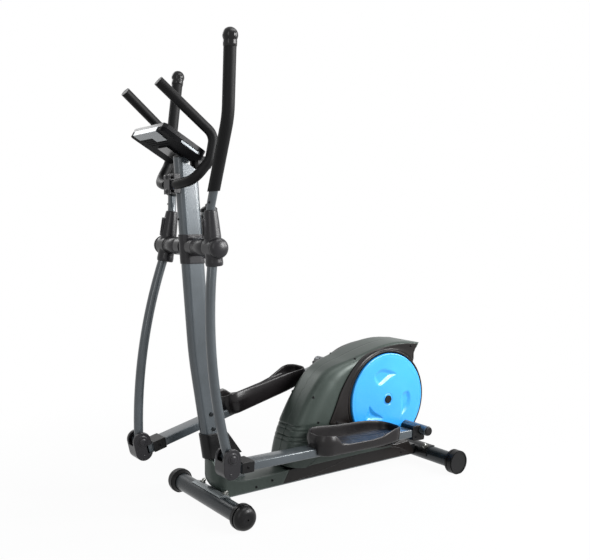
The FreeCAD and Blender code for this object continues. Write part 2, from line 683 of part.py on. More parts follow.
# ---------------------------------------------------------------- tension control
KNOB_Z = 1172.0
KNOB_BASE_T = 12.0
KNOB_LEN = 34.0
KNOB_R = 25.0


def knob_axis():
    """Seat on the mast's rear face and the outward direction of the tension knob."""
    _, forward = mast_slope()
    out = V(forward).multiply(-1) if forward.x < 0 else V(forward)
    middle = V(mast_x(KNOB_Z), 0, KNOB_Z)
    return middle + V(out).multiply(MAST_LONG / 2), out


def tension_base():
    """Round base of the tension control, saddle-shaped against the mast."""
    seat, out = knob_axis()
    base = Part.makeCylinder(KNOB_R + 4, KNOB_BASE_T + 8, seat - V(out).multiply(8), out)
    spindle = Part.makeCylinder(5, KNOB_LEN - 8, seat + V(out).multiply(KNOB_BASE_T), out)
    base = base.cut(upper_run(KNOB_Z - 60, KNOB_Z + 60, MAST_LONG + 0.4, MAST_WIDE + 0.4))
    return base.fuse(spindle).removeSplitter()


def tension_knob():
    """Fluted dial that turns on the base's spindle."""
    seat, out = knob_axis()
    foot = seat + V(out).multiply(KNOB_BASE_T + 0.6)
    dial = Part.makeCone(KNOB_R, KNOB_R - 4, KNOB_LEN, foot, out)
    side = V(0, 1, 0)
    up = side.cross(out)
    for i in range(12):
        a = 2 * math.pi * i / 12
        off = V(side).multiply(math.cos(a) * (KNOB_R + 1)) + V(up).multiply(math.sin(a) * (KNOB_R + 1))
        dial = dial.cut(Part.makeCylinder(3, KNOB_LEN - 6, foot + off + V(out).multiply(6), out))
    return dial.cut(Part.makeCylinder(5 + FIT, KNOB_LEN - 7, foot - V(out), out))


# ---------------------------------------------------------------- drink bottle
def bottle_point(z, off):
    """Point at a height on a line that runs beside the mast's upper line."""
    return V(mast_x(z) + off, 0, z)


def bottle_bar(z0, z1, r):
    """Round bar along the bottle's axis."""
    a, b = bottle_point(z0, BOTTLE_OFF), bottle_point(z1, BOTTLE_OFF)
    return Part.makeCylinder(r, (b - a).Length, a, b - a)


def bottle():
    """Drink bottle: a hollow body, and a domed screw cap as a second solid."""
    body = bottle_bar(BOTTLE_Z0, BOTTLE_Z1, BOTTLE_R).cut(bottle_bar(BOTTLE_Z0 + 2, BOTTLE_Z1 + 1, BOTTLE_R - 1.5))
    top = bottle_point(BOTTLE_Z1, BOTTLE_OFF)
    up = (bottle_point(BOTTLE_Z1 + 1, BOTTLE_OFF) - top).normalize()
    cap = Part.makeCylinder(BOTTLE_R + 0.6, 7, top, up)
    dome = Part.makeSphere(BOTTLE_R + 4, top - V(up).multiply(9.5)).common(
        Part.makeCylinder(BOTTLE_R + 0.6, 40, top + V(up).multiply(6), up))
    return [body, cap.fuse(dome).removeSplitter()]


def bottle_cage():
    """Open cup on a back strip that is screwed to the mast."""
    cup = bottle_bar(BOTTLE_Z0 - 3, 966, BOTTLE_R + 2.5).cut(bottle_bar(BOTTLE_Z0 - 0.3, 970, BOTTLE_R + GAP / 2))
    out = V(1, 0, 0)
    window = []
    for z in (900, 935):
        seat = bottle_point(z, BOTTLE_OFF)
        window.append(box(seat.x - 50, seat.x + 50, -12, 12, z - 9, z + 9).cut(box(-500, seat.x, -50, 50, 0, 2000)))
        window.append(box(seat.x - 12, seat.x + 12, -60, 60, z - 9, z + 9))
    strip = upper_run(948, 1004, 2 * (BOTTLE_OFF - BOTTLE_R) + 2, 22).common(
        upper_run(940, 1010, 400, 100).cut(upper_run(930, 1020, MAST_LONG + 0.4, MAST_WIDE + 0.4)))
    strip = strip.common(box(mast_x(975), 0, -50, 50, 900, 1100))
    strip = strip.cut(bottle_bar(BOTTLE_Z0 - 0.3, 1030, BOTTLE_R + GAP / 2))
    cup = cup.cut(window[0]).cut(window[1]).cut(window[2]).cut(window[3])
    return cup.fuse(strip).removeSplitter()


# ---------------------------------------------------------------- covers of the rail
COWL_TOP = [(-387, 78), (-389, 177), (-298, 111), (-208, 90), (-88.5, 96), (-117.5, COVER_BASE), (-350, COVER_BASE)]
REAR_TOP = [(-88, 96), (40, 107.6), (370, 107.6), (434, 100), (490, 104), (521, 60), (519, COVER_BASE),
            (-117, COVER_BASE)]
SCREW_R = 2.0
LEG_GAP = 1.5         # clearance round each leg that passes up through a cover


def inset(points, depth, y0, y1):
    """Slab whose outline lies inside the given outline by a depth."""
    wire = Part.makePolygon([V(x, y0, z) for x, z in points] + [V(points[0][0], y0, points[0][1])])
    face = Part.Face(wire).makeOffset2D(-depth, 2)
    return face.extrude(V(0, y1 - y0, 0))


def legs():
    """Space taken by the frame's legs where they pass up through the covers."""
    g = LEG_GAP
    crank_leg = box(CRANK_X - 25 - g, CRANK_X + 25 + g, -25 - g, 25 + g, 60, 130)
    wheel_legs = box(FLY_X - 45 - g, FLY_X + 45 + g, LUG_LEFT - g, LUG_RIGHT + g, 60, 130)
    return [crank_leg, wheel_legs]


def split(shape):
    """Left and right halves, parted by the seam on the middle plane."""
    left = shape.common(box(-900, 900, -400, -SEAM / 2, -50, 1700))
    right = shape.common(box(-900, 900, SEAM / 2, 400, -50, 1700))
    return left.Solids + right.Solids


def rounded(shape, half, r, keep):
    """Rounds the long edges that lie at y = -half or y = +half, where keep(point) holds."""
    picked = []
    for edge in shape.Edges:
        ends = [vertex.Point for vertex in edge.Vertexes]
        if all(abs(abs(p.y) - half) < 0.01 for p in ends) and all(keep(p) for p in ends):
            picked.append(edge)
    return shape.makeFillet(r, picked)


def front_cowl():
    """Two shells over the front of the rail, dished down behind the mast."""
    body = slab(COWL_TOP, -COVER_HALF, COVER_HALF)
    body = rounded(body, COVER_HALF, 9, lambda p: p.z > 89)
    hollow = inset(COWL_TOP, WALL, -COVER_HALF + WALL, COVER_HALF - WALL)
    body = body.cut(hollow).cut(box(-340, -110, -COVER_HALF + WALL, COVER_HALF - WALL, 40, 60))
    body = body.cut(rod(FRONT_X, FRONT_Z, STAB_R + SADDLE_T + 1.2, -60, 60))
    g = LEG_GAP
    body = body.cut(box(-360, 0, -RAIL_W / 2 - 0.5, RAIL_W / 2 + 0.5, 30, RAIL_TOP + 1))
    body = body.cut(box(POST_X0 - g, POST_X1 + g, -POST_HALF - g, POST_HALF + g, 90, 200))
    body = body.cut(gusset(6 + g))
    return split(drilled(body))


def rear_cover():
    """Two shells over the rail from the cowl's seam to the rear stabiliser."""
    body = slab(REAR_TOP, -COVER_HALF, COVER_HALF)
    body = rounded(body, COVER_HALF, 6, lambda p: p.z > 89)
    hollow = inset(REAR_TOP, WALL, -COVER_HALF + WALL, COVER_HALF - WALL)
    body = body.cut(hollow).cut(box(-110, 512, -COVER_HALF + WALL, COVER_HALF - WALL, 40, 60))
    body = body.cut(box(-130, 560, -RAIL_W / 2 - 0.5, RAIL_W / 2 + 0.5, 30, RAIL_TOP + 1))
    for leg in legs():
        body = body.cut(leg)
    return split(drilled(body))


# ---------------------------------------------------------------- housing
HOUSE_FRONT = [(-108, HOUSE_BASE), (-104, 143), (-91, 194), (-76, 233), (-53, 278), (-13, 342), (40, 408),
               (79, 438), (125, 456), (175, 469), (229, 485), (283, 499), (339, 510), (396, 515), (450, 513)]
FIN_TIP = (508, 505)
FIN_ROOT = (482, 473)
TRIM_LINE = [(58, 246), (83, 294), (113, 359), (149, 413), (190, 455), (243, 484), (313, 501), (396, 508)]
TRIM_OUT = 95.0


def rim_point(r, degrees):
    """Point on a circle round the crank axle."""
    a = math.radians(degrees)
    return CRANK_X + r * math.cos(a), CRANK_Z + r * math.sin(a)


def house_block(half):
    """Solid inside the housing's outline, cut to a half width."""
    def at(point):
        return V(point[0], -half, point[1])
    curve = Part.BSplineCurve()
    curve.interpolate([at(p) for p in HOUSE_FRONT])
    tip, root = at(FIN_TIP), at(FIN_ROOT)
    high, mid, low = [at(rim_point(RIM_R, a)) for a in (42, -20, -80)]
    corner = V(low.x, -half, HOUSE_BASE)
    edges = [
        curve.toShape(),
        Part.LineSegment(at(HOUSE_FRONT[-1]), tip).toShape(),
        Part.LineSegment(tip, root).toShape(),
        Part.LineSegment(root, high).toShape(),
        Part.Arc(high, mid, low).toShape(),
        Part.LineSegment(low, corner).toShape(),
        Part.LineSegment(corner, at(HOUSE_FRONT[0])).toShape(),
    ]
    return Part.Face(Part.Wire(edges)).extrude(V(0, 2 * half, 0))


def house_outer():
    """Outer form of the housing, its long edges rounded, with a round well on each side."""
    block = house_block(HOUSE_HALF)
    edges = []
    for edge in block.Edges:
        ends = [vertex.Point for vertex in edge.Vertexes]
        flat = all(abs(abs(p.y) - HOUSE_HALF) < 0.01 for p in ends)
        if flat and ends[0].sub(ends[-1]).Length > 400 and edge.Length > 600:
            edges.append(edge)
    block = block.makeFillet(HOUSE_ROUND, edges)
    for side in (-1, 1):
        y0 = min(side * WELL_FLOOR, side * 120)
        block = block.cut(rod(CRANK_X, CRANK_Z, WELL_R, y0, y0 + 120 - WELL_FLOOR))
    return block


HOUSE_ROUND = 26.0


def housing(outer):
    """Two hollow shells; open below for the frame's legs and pierced for the crank axle."""
    outline = HOUSE_FRONT[:-1] + [rim_point(RIM_R, 60 - 14 * i) for i in range(11)]
    outline.append((outline[-1][0], HOUSE_BASE))
    inner = None
    for depth, half in ((WALL, HOUSE_HALF - HOUSE_ROUND + 1), (11, HOUSE_HALF - 11),
                        (HOUSE_ROUND - 1, HOUSE_HALF - WALL)):
        step = inset(outline, depth, -half, half)
        inner = step if inner is None else inner.fuse(step)
    for side in (-1, 1):
        y0 = min(side * (WELL_FLOOR - WALL), side * 120)
        inner = inner.cut(rod(CRANK_X, CRANK_Z, WELL_R + WALL, y0, y0 + 120 - WELL_FLOOR + WALL))
    shell = outer.cut(inner)
    shell = shell.cut(rod(CRANK_X, CRANK_Z, SHAFT_R + 4, -100, 100))
    for leg in legs():
        shell = shell.cut(leg)
    return split(shell)


def house_trim(outer):
    """Right crescent trim round the well, raised from the housing's side."""
    low = rim_point(RIM_R, 202)
    points = TRIM_LINE + [(450, 507), (496, 501), (474, 470), rim_point(RIM_R - 3, 44)]
    points += [rim_point(RIM_R - 3, a) for a in (90, 130, 170)] + [low]
    crescent = slab(points, HOUSE_HALF - 16, TRIM_OUT)
    rim = rod(CRANK_X, CRANK_Z, RIM_R - 1, HOUSE_HALF, TRIM_OUT)
    body = crescent.fuse(rim).cut(outer)
    body = body.cut(rod(CRANK_X, CRANK_Z, WELL_R, 0, 200))
    body = drilled(body)
    return max(body.removeSplitter().Solids, key=lambda s: s.Volume)


def screw_places():
    """Seats of the screws on the right sides of the covers."""
    side = [(-11, 340, HOUSE_HALF), (181, 452, HOUSE_HALF), (105, 250, TRIM_OUT), (466, 492, TRIM_OUT)]
    low = [(-166, 75, COVER_HALF), (-232, 64, COVER_HALF), (469, 75, COVER_HALF)]
    return [V(x, y, z) for x, z, y in side[2:] + low]


def cover_screws():
    """Pan-head screws of the side covers."""
    pieces = []
    for at in screw_places():
        pieces += both(bolt(at, V(0, 1, 0), SCREW_R, 2.5, 5.5, 2.2))
    return pieces


def drilled(shape):
    """The shape with a hole for each cover screw, on both sides."""
    for at in screw_places():
        hole = Part.makeCylinder(SCREW_R + 0.1, 5, at - V(0, 4, 0), V(0, 1, 0))
        for tool in both(hole):
            shape = shape.cut(tool)
    return shape


# ---------------------------------------------------------------- crank and drive
def bearings():
    """Ball bearings of the crank and the flywheel, one ring for each."""
    pieces = []
    for side in (-1, 1):
        y0 = min(side * SHELL_HALF, side * (SHELL_HALF - BEARING_W))
        pieces.append(ring(CRANK_X, CRANK_Z, BEARING_R, SHAFT_R + FIT, y0, y0 + BEARING_W))
    for y0 in (LUG_LEFT, LUG_RIGHT - LUG_T):
        pieces.append(ring(FLY_X, FLY_Z, FLY_BEARING_R, FLY_SHAFT_R + FIT, y0, y0 + LUG_T))
    return pieces


def crank():
    """Axle with a crank arm at each end."""
    body = rod(CRANK_X, CRANK_Z, SHAFT_R, -DISC_IN + 1, DISC_IN - 1)
    for data, side in ((LEFT, -1), (RIGHT, 1)):
        y0 = min(side * (DISC_IN - 1), side * (DISC_IN - 1 - CRANK_ARM_T))
        pin = data["pin"]
        body = body.fuse(bar_between(CRANK_X, CRANK_Z, 20, pin[0], pin[1], 15, y0, y0 + CRANK_ARM_T))
    return body.removeSplitter()


def pulley():
    """Large grooved pulley on the crank axle."""
    body = rod(CRANK_X, CRANK_Z, PULLEY_R, BELT_Y0 - 2, BELT_Y1 + 2)
    body = body.cut(ring(CRANK_X, CRANK_Z, PULLEY_R + 5, PULLEY_R - 3, BELT_Y0, BELT_Y1))
    body = body.cut(ring(CRANK_X, CRANK_Z, PULLEY_R - 16, 30, BELT_Y0 - 3, BELT_Y0 + 3))
    body = body.cut(ring(CRANK_X, CRANK_Z, PULLEY_R - 16, 30, BELT_Y1 - 3, BELT_Y1 + 3))
    return body.cut(rod(CRANK_X, CRANK_Z, SHAFT_R, 0, 100))


DIMPLES = [
    [(-69.7, 83), (-63.7, 108), (-20.7, 121), (43, 95), (7, 78), (-42, 55)],
    [(70, 7), (104, 21), (119, -9), (105, -50), (65, -78), (68, -53)],
    [(-93, -13), (-69, -37), (-27, -64), (-30, -77), (-106, -69), (-103, -32)],
]


def disc():
    """Left turning disc, with a hub cap, a raised edge and three curved recesses."""
    body = rod(CRANK_X, CRANK_Z, DISC_R, -DISC_OUT, -DISC_IN)
    body = body.makeFillet(3, [e for e in body.Edges if abs(e.CenterOfMass.y + DISC_OUT) < 0.01])
    for points in DIMPLES:
        loop = [V(CRANK_X + x, -DISC_OUT - 1, CRANK_Z + z) for x, z in points]
        curve = Part.BSplineCurve()
        curve.interpolate(loop, PeriodicFlag=True)
        body = body.cut(Part.Face(Part.Wire(curve.toShape())).extrude(V(0, 6, 0)))
    return body


def centre_cap():
    """Left cover over the end of the crank axle."""
    cap = rod(CRANK_X, CRANK_Z, 15.5, -DISC_OUT - 4, -DISC_OUT)
    return cap.makeFillet(2, [e for e in cap.Edges if abs(e.CenterOfMass.y + DISC_OUT + 4) < 0.01])


def flywheel():
    """Flywheel with its shaft and small pulley."""
    body = rod(FLY_X, FLY_Z, FLY_R, FLY_Y0, FLY_Y1)
    body = body.cut(ring(FLY_X, FLY_Z, FLY_R - 22, 28, FLY_Y0 - 1, FLY_Y0 + 7))
    body = body.cut(ring(FLY_X, FLY_Z, FLY_R - 22, 28, FLY_Y1 - 7, FLY_Y1 + 1))
    shaft = rod(FLY_X, FLY_Z, FLY_SHAFT_R, LUG_LEFT - 4, BELT_Y1 + 4)
    small = rod(FLY_X, FLY_Z, FLY_PULLEY_R, BELT_Y0 - 2, BELT_Y1 + 2)
    small = small.cut(ring(FLY_X, FLY_Z, FLY_PULLEY_R + 5, FLY_PULLEY_R - 3, BELT_Y0, BELT_Y1))
    return body.fuse([shaft, small]).removeSplitter()


BELT_T = 4.0
BELT_IN_BIG = PULLEY_R - 3 + 0.3
BELT_IN_SMALL = FLY_PULLEY_R - 3 + 0.3


def belt():
    """Flat belt round both pulleys."""
    outer = bar_between(CRANK_X, CRANK_Z, BELT_IN_BIG + BELT_T, FLY_X, FLY_Z, BELT_IN_SMALL + BELT_T,
                        BELT_Y0 + 1, BELT_Y1 - 1)
    inner = bar_between(CRANK_X, CRANK_Z, BELT_IN_BIG, FLY_X, FLY_Z, BELT_IN_SMALL, BELT_Y0, BELT_Y1)
    return outer.cut(inner)


def idler_place():
    """Axis of the idler, which touches the belt's lower run from below."""
    run = math.hypot(CRANK_X - FLY_X, CRANK_Z - FLY_Z)
    head = math.atan2(CRANK_Z - FLY_Z, CRANK_X - FLY_X)
    lean = math.asin((BELT_IN_BIG - BELT_IN_SMALL) / run)
    a = head - lean - math.pi / 2
    reach = BELT_IN_SMALL + BELT_T + IDLER_R + 0.4
    along = 95.0
    x = FLY_X + reach * math.cos(a) - along * math.sin(a)
    z = FLY_Z + reach * math.sin(a) + along * math.cos(a)
    return x, z


def idler_arm():
    """Flat arm from the crank post to the idler, with the idler's pin."""
    x, z = idler_place()
    arm = bar_between(CRANK_X, 150, 14, x, z, 11, 25, 31)
    return arm.fuse(rod(x, z, 6, 31, BELT_Y1)).removeSplitter()


def idler():
    """Small smooth roller on the idler arm."""
    x, z = idler_place()
    return ring(x, z, IDLER_R, 6 + FIT, BELT_Y0, BELT_Y1)


def magnet_bracket():
    """Curved bracket with its magnets, hinged beside the flywheel's rim."""
    r = FLY_R + MAGNET_GAP
    a0, a1 = MAGNET_PIVOT_A, MAGNET_PIVOT_A + 66
    plate_r = r + MAGNET_T
    body = sector(FLY_X, FLY_Z, plate_r, plate_r + MAGNET_PLATE_T, a0, a1, -28, -7)
    body = body.fuse(rod(MAGNET_X, MAGNET_Z, MAGNET_PIN_R + 4, -28, -7))
    for i in range(3):
        a = a0 + 16 + 17 * i
        body = body.fuse(sector(FLY_X, FLY_Z, r, plate_r + 1, a, a + 13, -28, -12))
    return body.removeSplitter().cut(rod(MAGNET_X, MAGNET_Z, MAGNET_PIN_R + FIT, -40, 0))


# ---------------------------------------------------------------- swing arm, drawn hanging straight down
LUG_R = 17.0
LUG_HALF = 17.0
SOCKET_TOP = 112.0
HANDLE_POINTS = [(0, 0, 30), (-1, 1, 124), (14, 120, 392), (19.5, 152, 612)]
HANDLE_BENDS = [90, 250]


def arm_point(x, y, z):
    """Point of the right arm, measured from the pivot at the arm's middle plane."""
    return V(PIVOT_X + x, ARM_Y + y, PIVOT_Z + z)


def swing_tube():
    """Hub, bowed lower tube, lug for the lower joint and socket for the handle."""
    hub = rod(PIVOT_X, PIVOT_Z, 20, HUB_IN + 2, HUB_OUT - 4)
    start, middle, end = arm_point(0, 0, -10), arm_point(-SWING_BOW, 0, -SWING_LEN / 2), arm_point(0, 0, -SWING_LEN)
    arc = Part.Arc(start, middle, end)
    wire = Part.Wire(arc.toShape())
    lean = arc.tangent(arc.FirstParameter)[0]
    tube = sweep(wire, Part.Wire(Part.makeCircle(SWING_TUBE_R, start, lean)))
    bore = sweep(wire, Part.Wire(Part.makeCircle(SWING_TUBE_R - SWING_TUBE_WALL, start, lean)))
    foot_z = PIVOT_Z - SWING_LEN
    lug = rod(PIVOT_X, foot_z, LUG_R, ARM_Y - LUG_HALF, ARM_Y + LUG_HALF)
    below = box(PIVOT_X - 60, PIVOT_X + 60, ARM_Y - 60, ARM_Y + 60, foot_z - 60, foot_z)
    socket = Part.makeCylinder(HANDLE_R + 2.5, SOCKET_TOP - 10, arm_point(0, 0, 10))
    body = tube.cut(bore).cut(below).fuse([hub, lug, socket])
    body = body.cut(pipe(handle_route(), HANDLE_BENDS, HANDLE_R + 0.1))
    body = body.cut(rod(PIVOT_X, PIVOT_Z, AXLE_R + FIT, 0, 300))
    return body.cut(rod(PIVOT_X, foot_z, PIN_R + FIT, 0, 300)).removeSplitter()


def handle_route():
    """Corner points of the handle's middle line."""
    return [arm_point(*p) for p in HANDLE_POINTS]


def handle_tube():
    """Bent steel handle."""
    return hollow_pipe(handle_route(), HANDLE_BENDS, HANDLE_R, HANDLE_WALL)


def handle_grip():
    """Foam sleeve over the handle's upper part."""
    points = handle_route()
    sleeve = pipe(points, HANDLE_BENDS, GRIP_R).cut(pipe(points, HANDLE_BENDS, HANDLE_R + 0.05))
    top, corner = points[-1], points[-2]
    along = (top - corner).normalize()
    keep = box(PIVOT_X - 200, PIVOT_X + 200, 0, 400, PIVOT_Z + 175, PIVOT_Z + 640)
    sleeve = sleeve.common(keep)
    tip = Part.makeCylinder(40, 60, top - V(along).multiply(14), along)
    return sleeve.cut(tip)


def handle_ball():
    """Round knob on the handle's end."""
    points = handle_route()
    along = (points[-1] - points[-2]).normalize()
    centre = points[-1] + V(along).multiply(7)
    ball = Part.makeSphere(BALL_R, centre)
    ball = ball.cut(Part.makeCylinder(HANDLE_R, 80, points[-1] - V(along).multiply(80), along))
    return ball.cut(Part.makeCylinder(GRIP_R + 1, 80, points[-1] - V(along).multiply(94), along))


def arm_cover():
    """Moulded cover round the hub and the handle's socket, with a rib down its front."""
    hub = rod(PIVOT_X, PIVOT_Z, 31, HUB_IN, HUB_OUT)
    body = Part.makeCylinder(27.5, 92, arm_point(0, 0, -57))
    upper = Part.makeCone(27.5, 21, 83, arm_point(0, 0, 35))
    rib = slab([(PIVOT_X - 20, PIVOT_Z + 26), (PIVOT_X - 30, PIVOT_Z + 34), (PIVOT_X - 29, PIVOT_Z + 82),
                (PIVOT_X - 20, PIVOT_Z + 100)], ARM_Y - 9, ARM_Y + 9)
    body = hub.fuse([body, upper, rib])
    body = body.cut(rod(PIVOT_X, PIVOT_Z, 20.2, 0, 300))
    body = body.cut(Part.makeCylinder(HANDLE_R + 2.7, 200, arm_point(0, 0, 0)))
    start, end = arm_point(0, 0, -10), arm_point(0, 0, -SWING_LEN)
    wire = Part.Wire(Part.Arc(start, arm_point(-SWING_BOW, 0, -SWING_LEN / 2), end).toShape())
    lean = Part.Arc(start, arm_point(-SWING_BOW, 0, -SWING_LEN / 2), end).tangent(0)[0]
    body = body.cut(sweep(wire, Part.Wire(Part.makeCircle(SWING_TUBE_R + 0.3, start, lean))))
    groove = ring(PIVOT_X, PIVOT_Z, 32, 29.5, HUB_OUT - 60, HUB_OUT - 58)
    return body.cut(groove).removeSplitter()


def hub_cap():
    """Domed cap over the end of the pivot axle."""
    cap = rod(PIVOT_X, PIVOT_Z, 25, HUB_OUT + 0.0, HUB_OUT + 22.5)
    cap = cap.makeFillet(12, [e for e in cap.Edges if abs(e.CenterOfMass.y - HUB_OUT - 22.5) < 0.01])
    return cap.cut(rod(PIVOT_X, PIVOT_Z, AXLE_R + 5, HUB_OUT - 1, HUB_OUT + 14))


# ---------------------------------------------------------------- pedal arm, drawn level, joint at the origin
TUBE_FRONT = 34.0
TUBE_DROP_FRONT = -34.5
TUBE_DROP_REAR = -10.0
EAR_IN, EAR_OUT = 18.0, 24.0
COVER_IN, COVER_OUT = 131.0, 193.5
BLOCK_FRONT = 49.0
BLOCK_REAR = 12.0
TUBE_END_R = 25.0


def tube_line(x):
    """Height of the pedal tube's middle line."""
    return TUBE_DROP_FRONT + (TUBE_DROP_REAR - TUBE_DROP_FRONT) * (x - TUBE_FRONT) / (COUPLER_LEN - TUBE_FRONT)


def tube_block(x0, x1, grow):
    """Solid bar along the pedal tube, larger than it by a margin."""
    h = PEDAL_TUBE_H / 2 + grow
    points = [(x0, tube_line(x0) - h), (x1, tube_line(x1) - h), (x1, tube_line(x1) + h), (x0, tube_line(x0) + h)]
    return slab(points, ARM_Y - PEDAL_TUBE_W / 2 - grow, ARM_Y + PEDAL_TUBE_W / 2 + grow)


def ears(grow):
    """The two ears that carry the lower joint, made larger by a margin."""
    pair = []
    for y in (ARM_Y - EAR_OUT, ARM_Y + EAR_IN):
        y0, y1 = y - grow, y + EAR_OUT - EAR_IN + grow
        pair.append(bar_between(0, 0, 15 + grow, TUBE_FRONT + 4, TUBE_DROP_FRONT, 11 + grow, y0, y1))
    return pair


def pedal_tube():
    """Pedal arm: tube, end plate, two ears for the lower joint and the sleeve of the crank pin."""
    end = COUPLER_LEN
    body = tube_block(TUBE_FRONT, end, 0).cut(tube_block(TUBE_FRONT + 5, end + 1, -2.5))
    body = body.common(box(0, end, 0, 300, -99, 99))
    body = body.fuse(ears(0))
    sleeve = rod(end, 0, PEDAL_SLEEVE_R, DISC_OUT + GAP, 225)
    body = body.fuse([sleeve, rod(end, 0, TUBE_END_R, ARM_Y - 30, ARM_Y + 30).common(tube_block(0, end, 0))])
    body = body.cut(rod(end, 0, CRANK_PIN_R + FIT, 0, 300))
    return body.cut(rod(0, 0, PIN_R, 0, 300)).removeSplitter()


def crank_pin():
    """Pin in the pedal arm's rear sleeve; its inner end faces the turning disc."""
    return rod(COUPLER_LEN, 0, CRANK_PIN_R, DISC_OUT + GAP, 224)


def joint_bolt():
    """Bolt of the lower joint, with its head outside and its nut inside."""
    shank = rod(0, 0, PIN_R, ARM_Y - EAR_OUT - 1, ARM_Y + EAR_OUT + 1)
    head = rod(0, 0, PIN_R + 3, ARM_Y + EAR_OUT, ARM_Y + EAR_OUT + 1.5)
    nut = rod(0, 0, PIN_R + 3, ARM_Y - EAR_OUT - 1.5, ARM_Y - EAR_OUT)
    return shank.fuse([head, nut]).removeSplitter()


def joint_cover():
    """Two moulded shells round the lower joint, open at the top for the swinging arm."""
    body = bar_between(0, 0, 31, 0, -38, 31, COVER_IN, COVER_OUT)
    bosses = [rod(0, 0, 17.5, COVER_OUT, COVER_OUT + 2), rod(0, 0, 17.5, COVER_IN - 2, COVER_IN)]
    body = body.fuse(bosses)
    hollow = bar_between(0, 0, 27, 0, -38, 27, ARM_Y - 27.5, ARM_Y + 27.5)
    body = body.cut(hollow)
    body = body.cut(box(-60, 60, ARM_Y - 18, ARM_Y + 18, -8, 60))
    body = body.cut(tube_block(10, 70, 0.3))
    for ear in ears(0.3):
        body = body.cut(ear)
    inner = body.common(box(-99, 99, 0, ARM_Y - SEAM / 2, -99, 99))
    outer = body.common(box(-99, 99, ARM_Y + SEAM / 2, 300, -99, 99))
    return inner.Solids + outer.Solids


def pedal_collar():
    """Black sleeve round the front of the pedal tube."""
    body = tube_block(TUBE_FRONT + 1, 82, 3.5).cut(tube_block(TUBE_FRONT - 5, 110, 0.1))
    for ear in ears(0.3):
        body = body.cut(ear)
    return body.cut(bar_between(0, 0, 31.4, 0, -38, 31.4, 0, 300))


def end_block():
    """Black cover over the rear end of the pedal tube and its sleeve."""
    x0, x1 = COUPLER_LEN - BLOCK_FRONT, COUPLER_LEN + BLOCK_REAR
    body = box(x0, x1, ARM_Y - 34, ARM_Y + 34, -40, 18)
    body = body.makeFillet(6, [e for e in body.Edges if abs(e.CenterOfMass.y - ARM_Y) < 1])
    body = body.cut(tube_block(x0 - 5, COUPLER_LEN + 2, 0.1))
    body = body.cut(rod(COUPLER_LEN, 0, TUBE_END_R + 0.1, ARM_Y - 30.2, ARM_Y + 30.2))
    return body.cut(rod(COUPLER_LEN, 0, PEDAL_SLEEVE_R, 0, 300))


def end_cap():
    """Glossy cap over the outer end of the crank pin's sleeve."""
    cap = rod(COUPLER_LEN, 0, 17, 225, KNOB_END)
    return cap.makeFillet(4, [e for e in cap.Edges if abs(e.CenterOfMass.y - KNOB_END) < 0.01])


TRAY_X0, TRAY_X1 = 334.0, 712.0
TRAY_Y0, TRAY_Y1 = 110.0, 232.0
TRAY_H = 54.0         # rim height at the toe, above the pedal tube
TRAY_SKIRT = 23.0     # depth of the tray's sides below the tube's top
TRAY_WALL = 4.0
TRAY_FLOOR = 4.0


def tray_plan(shrink, z0, z1):
    """Rounded plan of the foot tray, drawn level."""
    block = box(TRAY_X0 + shrink, TRAY_X1 - shrink, TRAY_Y0 + shrink, TRAY_Y1 - shrink, z0, z1)
    toe = [e for e in block.Edges if abs(e.CenterOfMass.x - TRAY_X0 - shrink) < 0.1 and e.BoundBox.ZLength > 5]
    block = block.makeFillet(48 - shrink, toe)
    heel = [e for e in block.Edges if abs(e.CenterOfMass.x - TRAY_X1 + shrink) < 0.1 and e.BoundBox.ZLength > 5]
    return block.makeFillet(40 - shrink, heel)


def foot_tray():
    """Foot tray: high at the toe and along the inner side, low along the outer side; it saddles the tube."""
    x0, x1 = TRAY_X0, TRAY_X1
    half = PEDAL_TUBE_W / 2 + 0.3
    body = tray_plan(0, -TRAY_SKIRT, TRAY_H).cut(tray_plan(TRAY_WALL, TRAY_FLOOR, TRAY_H + 9))
    under = tray_plan(TRAY_WALL, -TRAY_SKIRT - 1, 0)
    keep = box(x0, x1, ARM_Y - half - TRAY_WALL, ARM_Y + half + TRAY_WALL, -99, 0)
    body = body.cut(under.cut(keep))
    body = body.cut(box(x0 + TRAY_WALL + 8, x1 + 9, ARM_Y - half, ARM_Y + half, -99, 0))
    body = body.cut(box(x0 - 9, x1 + 9, ARM_Y - half, ARM_Y + half, -99, 0))
    inner = [(x0 + 40, TRAY_H), (x0 + 150, TRAY_H - 8), (x0 + 250, TRAY_H - 10), (x0 + 320, TRAY_H - 17),
             (x1 - 16, 22), (x1 + 9, 16), (x1 + 9, 99), (x0 + 40, 99)]
    outer = [(x0 - 9, TRAY_H - 8), (x0 + 30, TRAY_H - 18), (x0 + 62, 22), (x0 + 105, 9), (x1 - 90, 9), (x1 - 30, 20),
             (x1 + 9, 22), (x1 + 9, 99), (x0 - 9, 99)]
    middle = (TRAY_Y0 + TRAY_Y1) / 2
    body = body.cut(slab(inner, TRAY_Y0 - 9, middle)).cut(slab(outer, middle, TRAY_Y1 + 9))
    drop = tube_line(x0) + PEDAL_TUBE_H / 2
    tilt = math.degrees(math.atan2(tube_line(x1) - tube_line(x0), x1 - x0))
    return turned(moved(body, 0, 0, drop), x0, drop, -tilt)


# ---------------------------------------------------------------- placing and writing
def place_swing(shape, side, data):
    """Right-hand drawing of a swing-arm piece, put on its side at its rest angle."""
    out = shape if side > 0 else mirror(shape)
    return turned(out, PIVOT_X, PIVOT_Z, data["swing"])


def place_pedal(shape, side, data):
    """Right-hand drawing of a pedal-arm piece, put on its side at its rest angle."""
    out = shape if side > 0 else mirror(shape)
    out = turned(out, 0, 0, data["pedal"])
    return moved(out, data["joint"][0], 0, data["joint"][1])


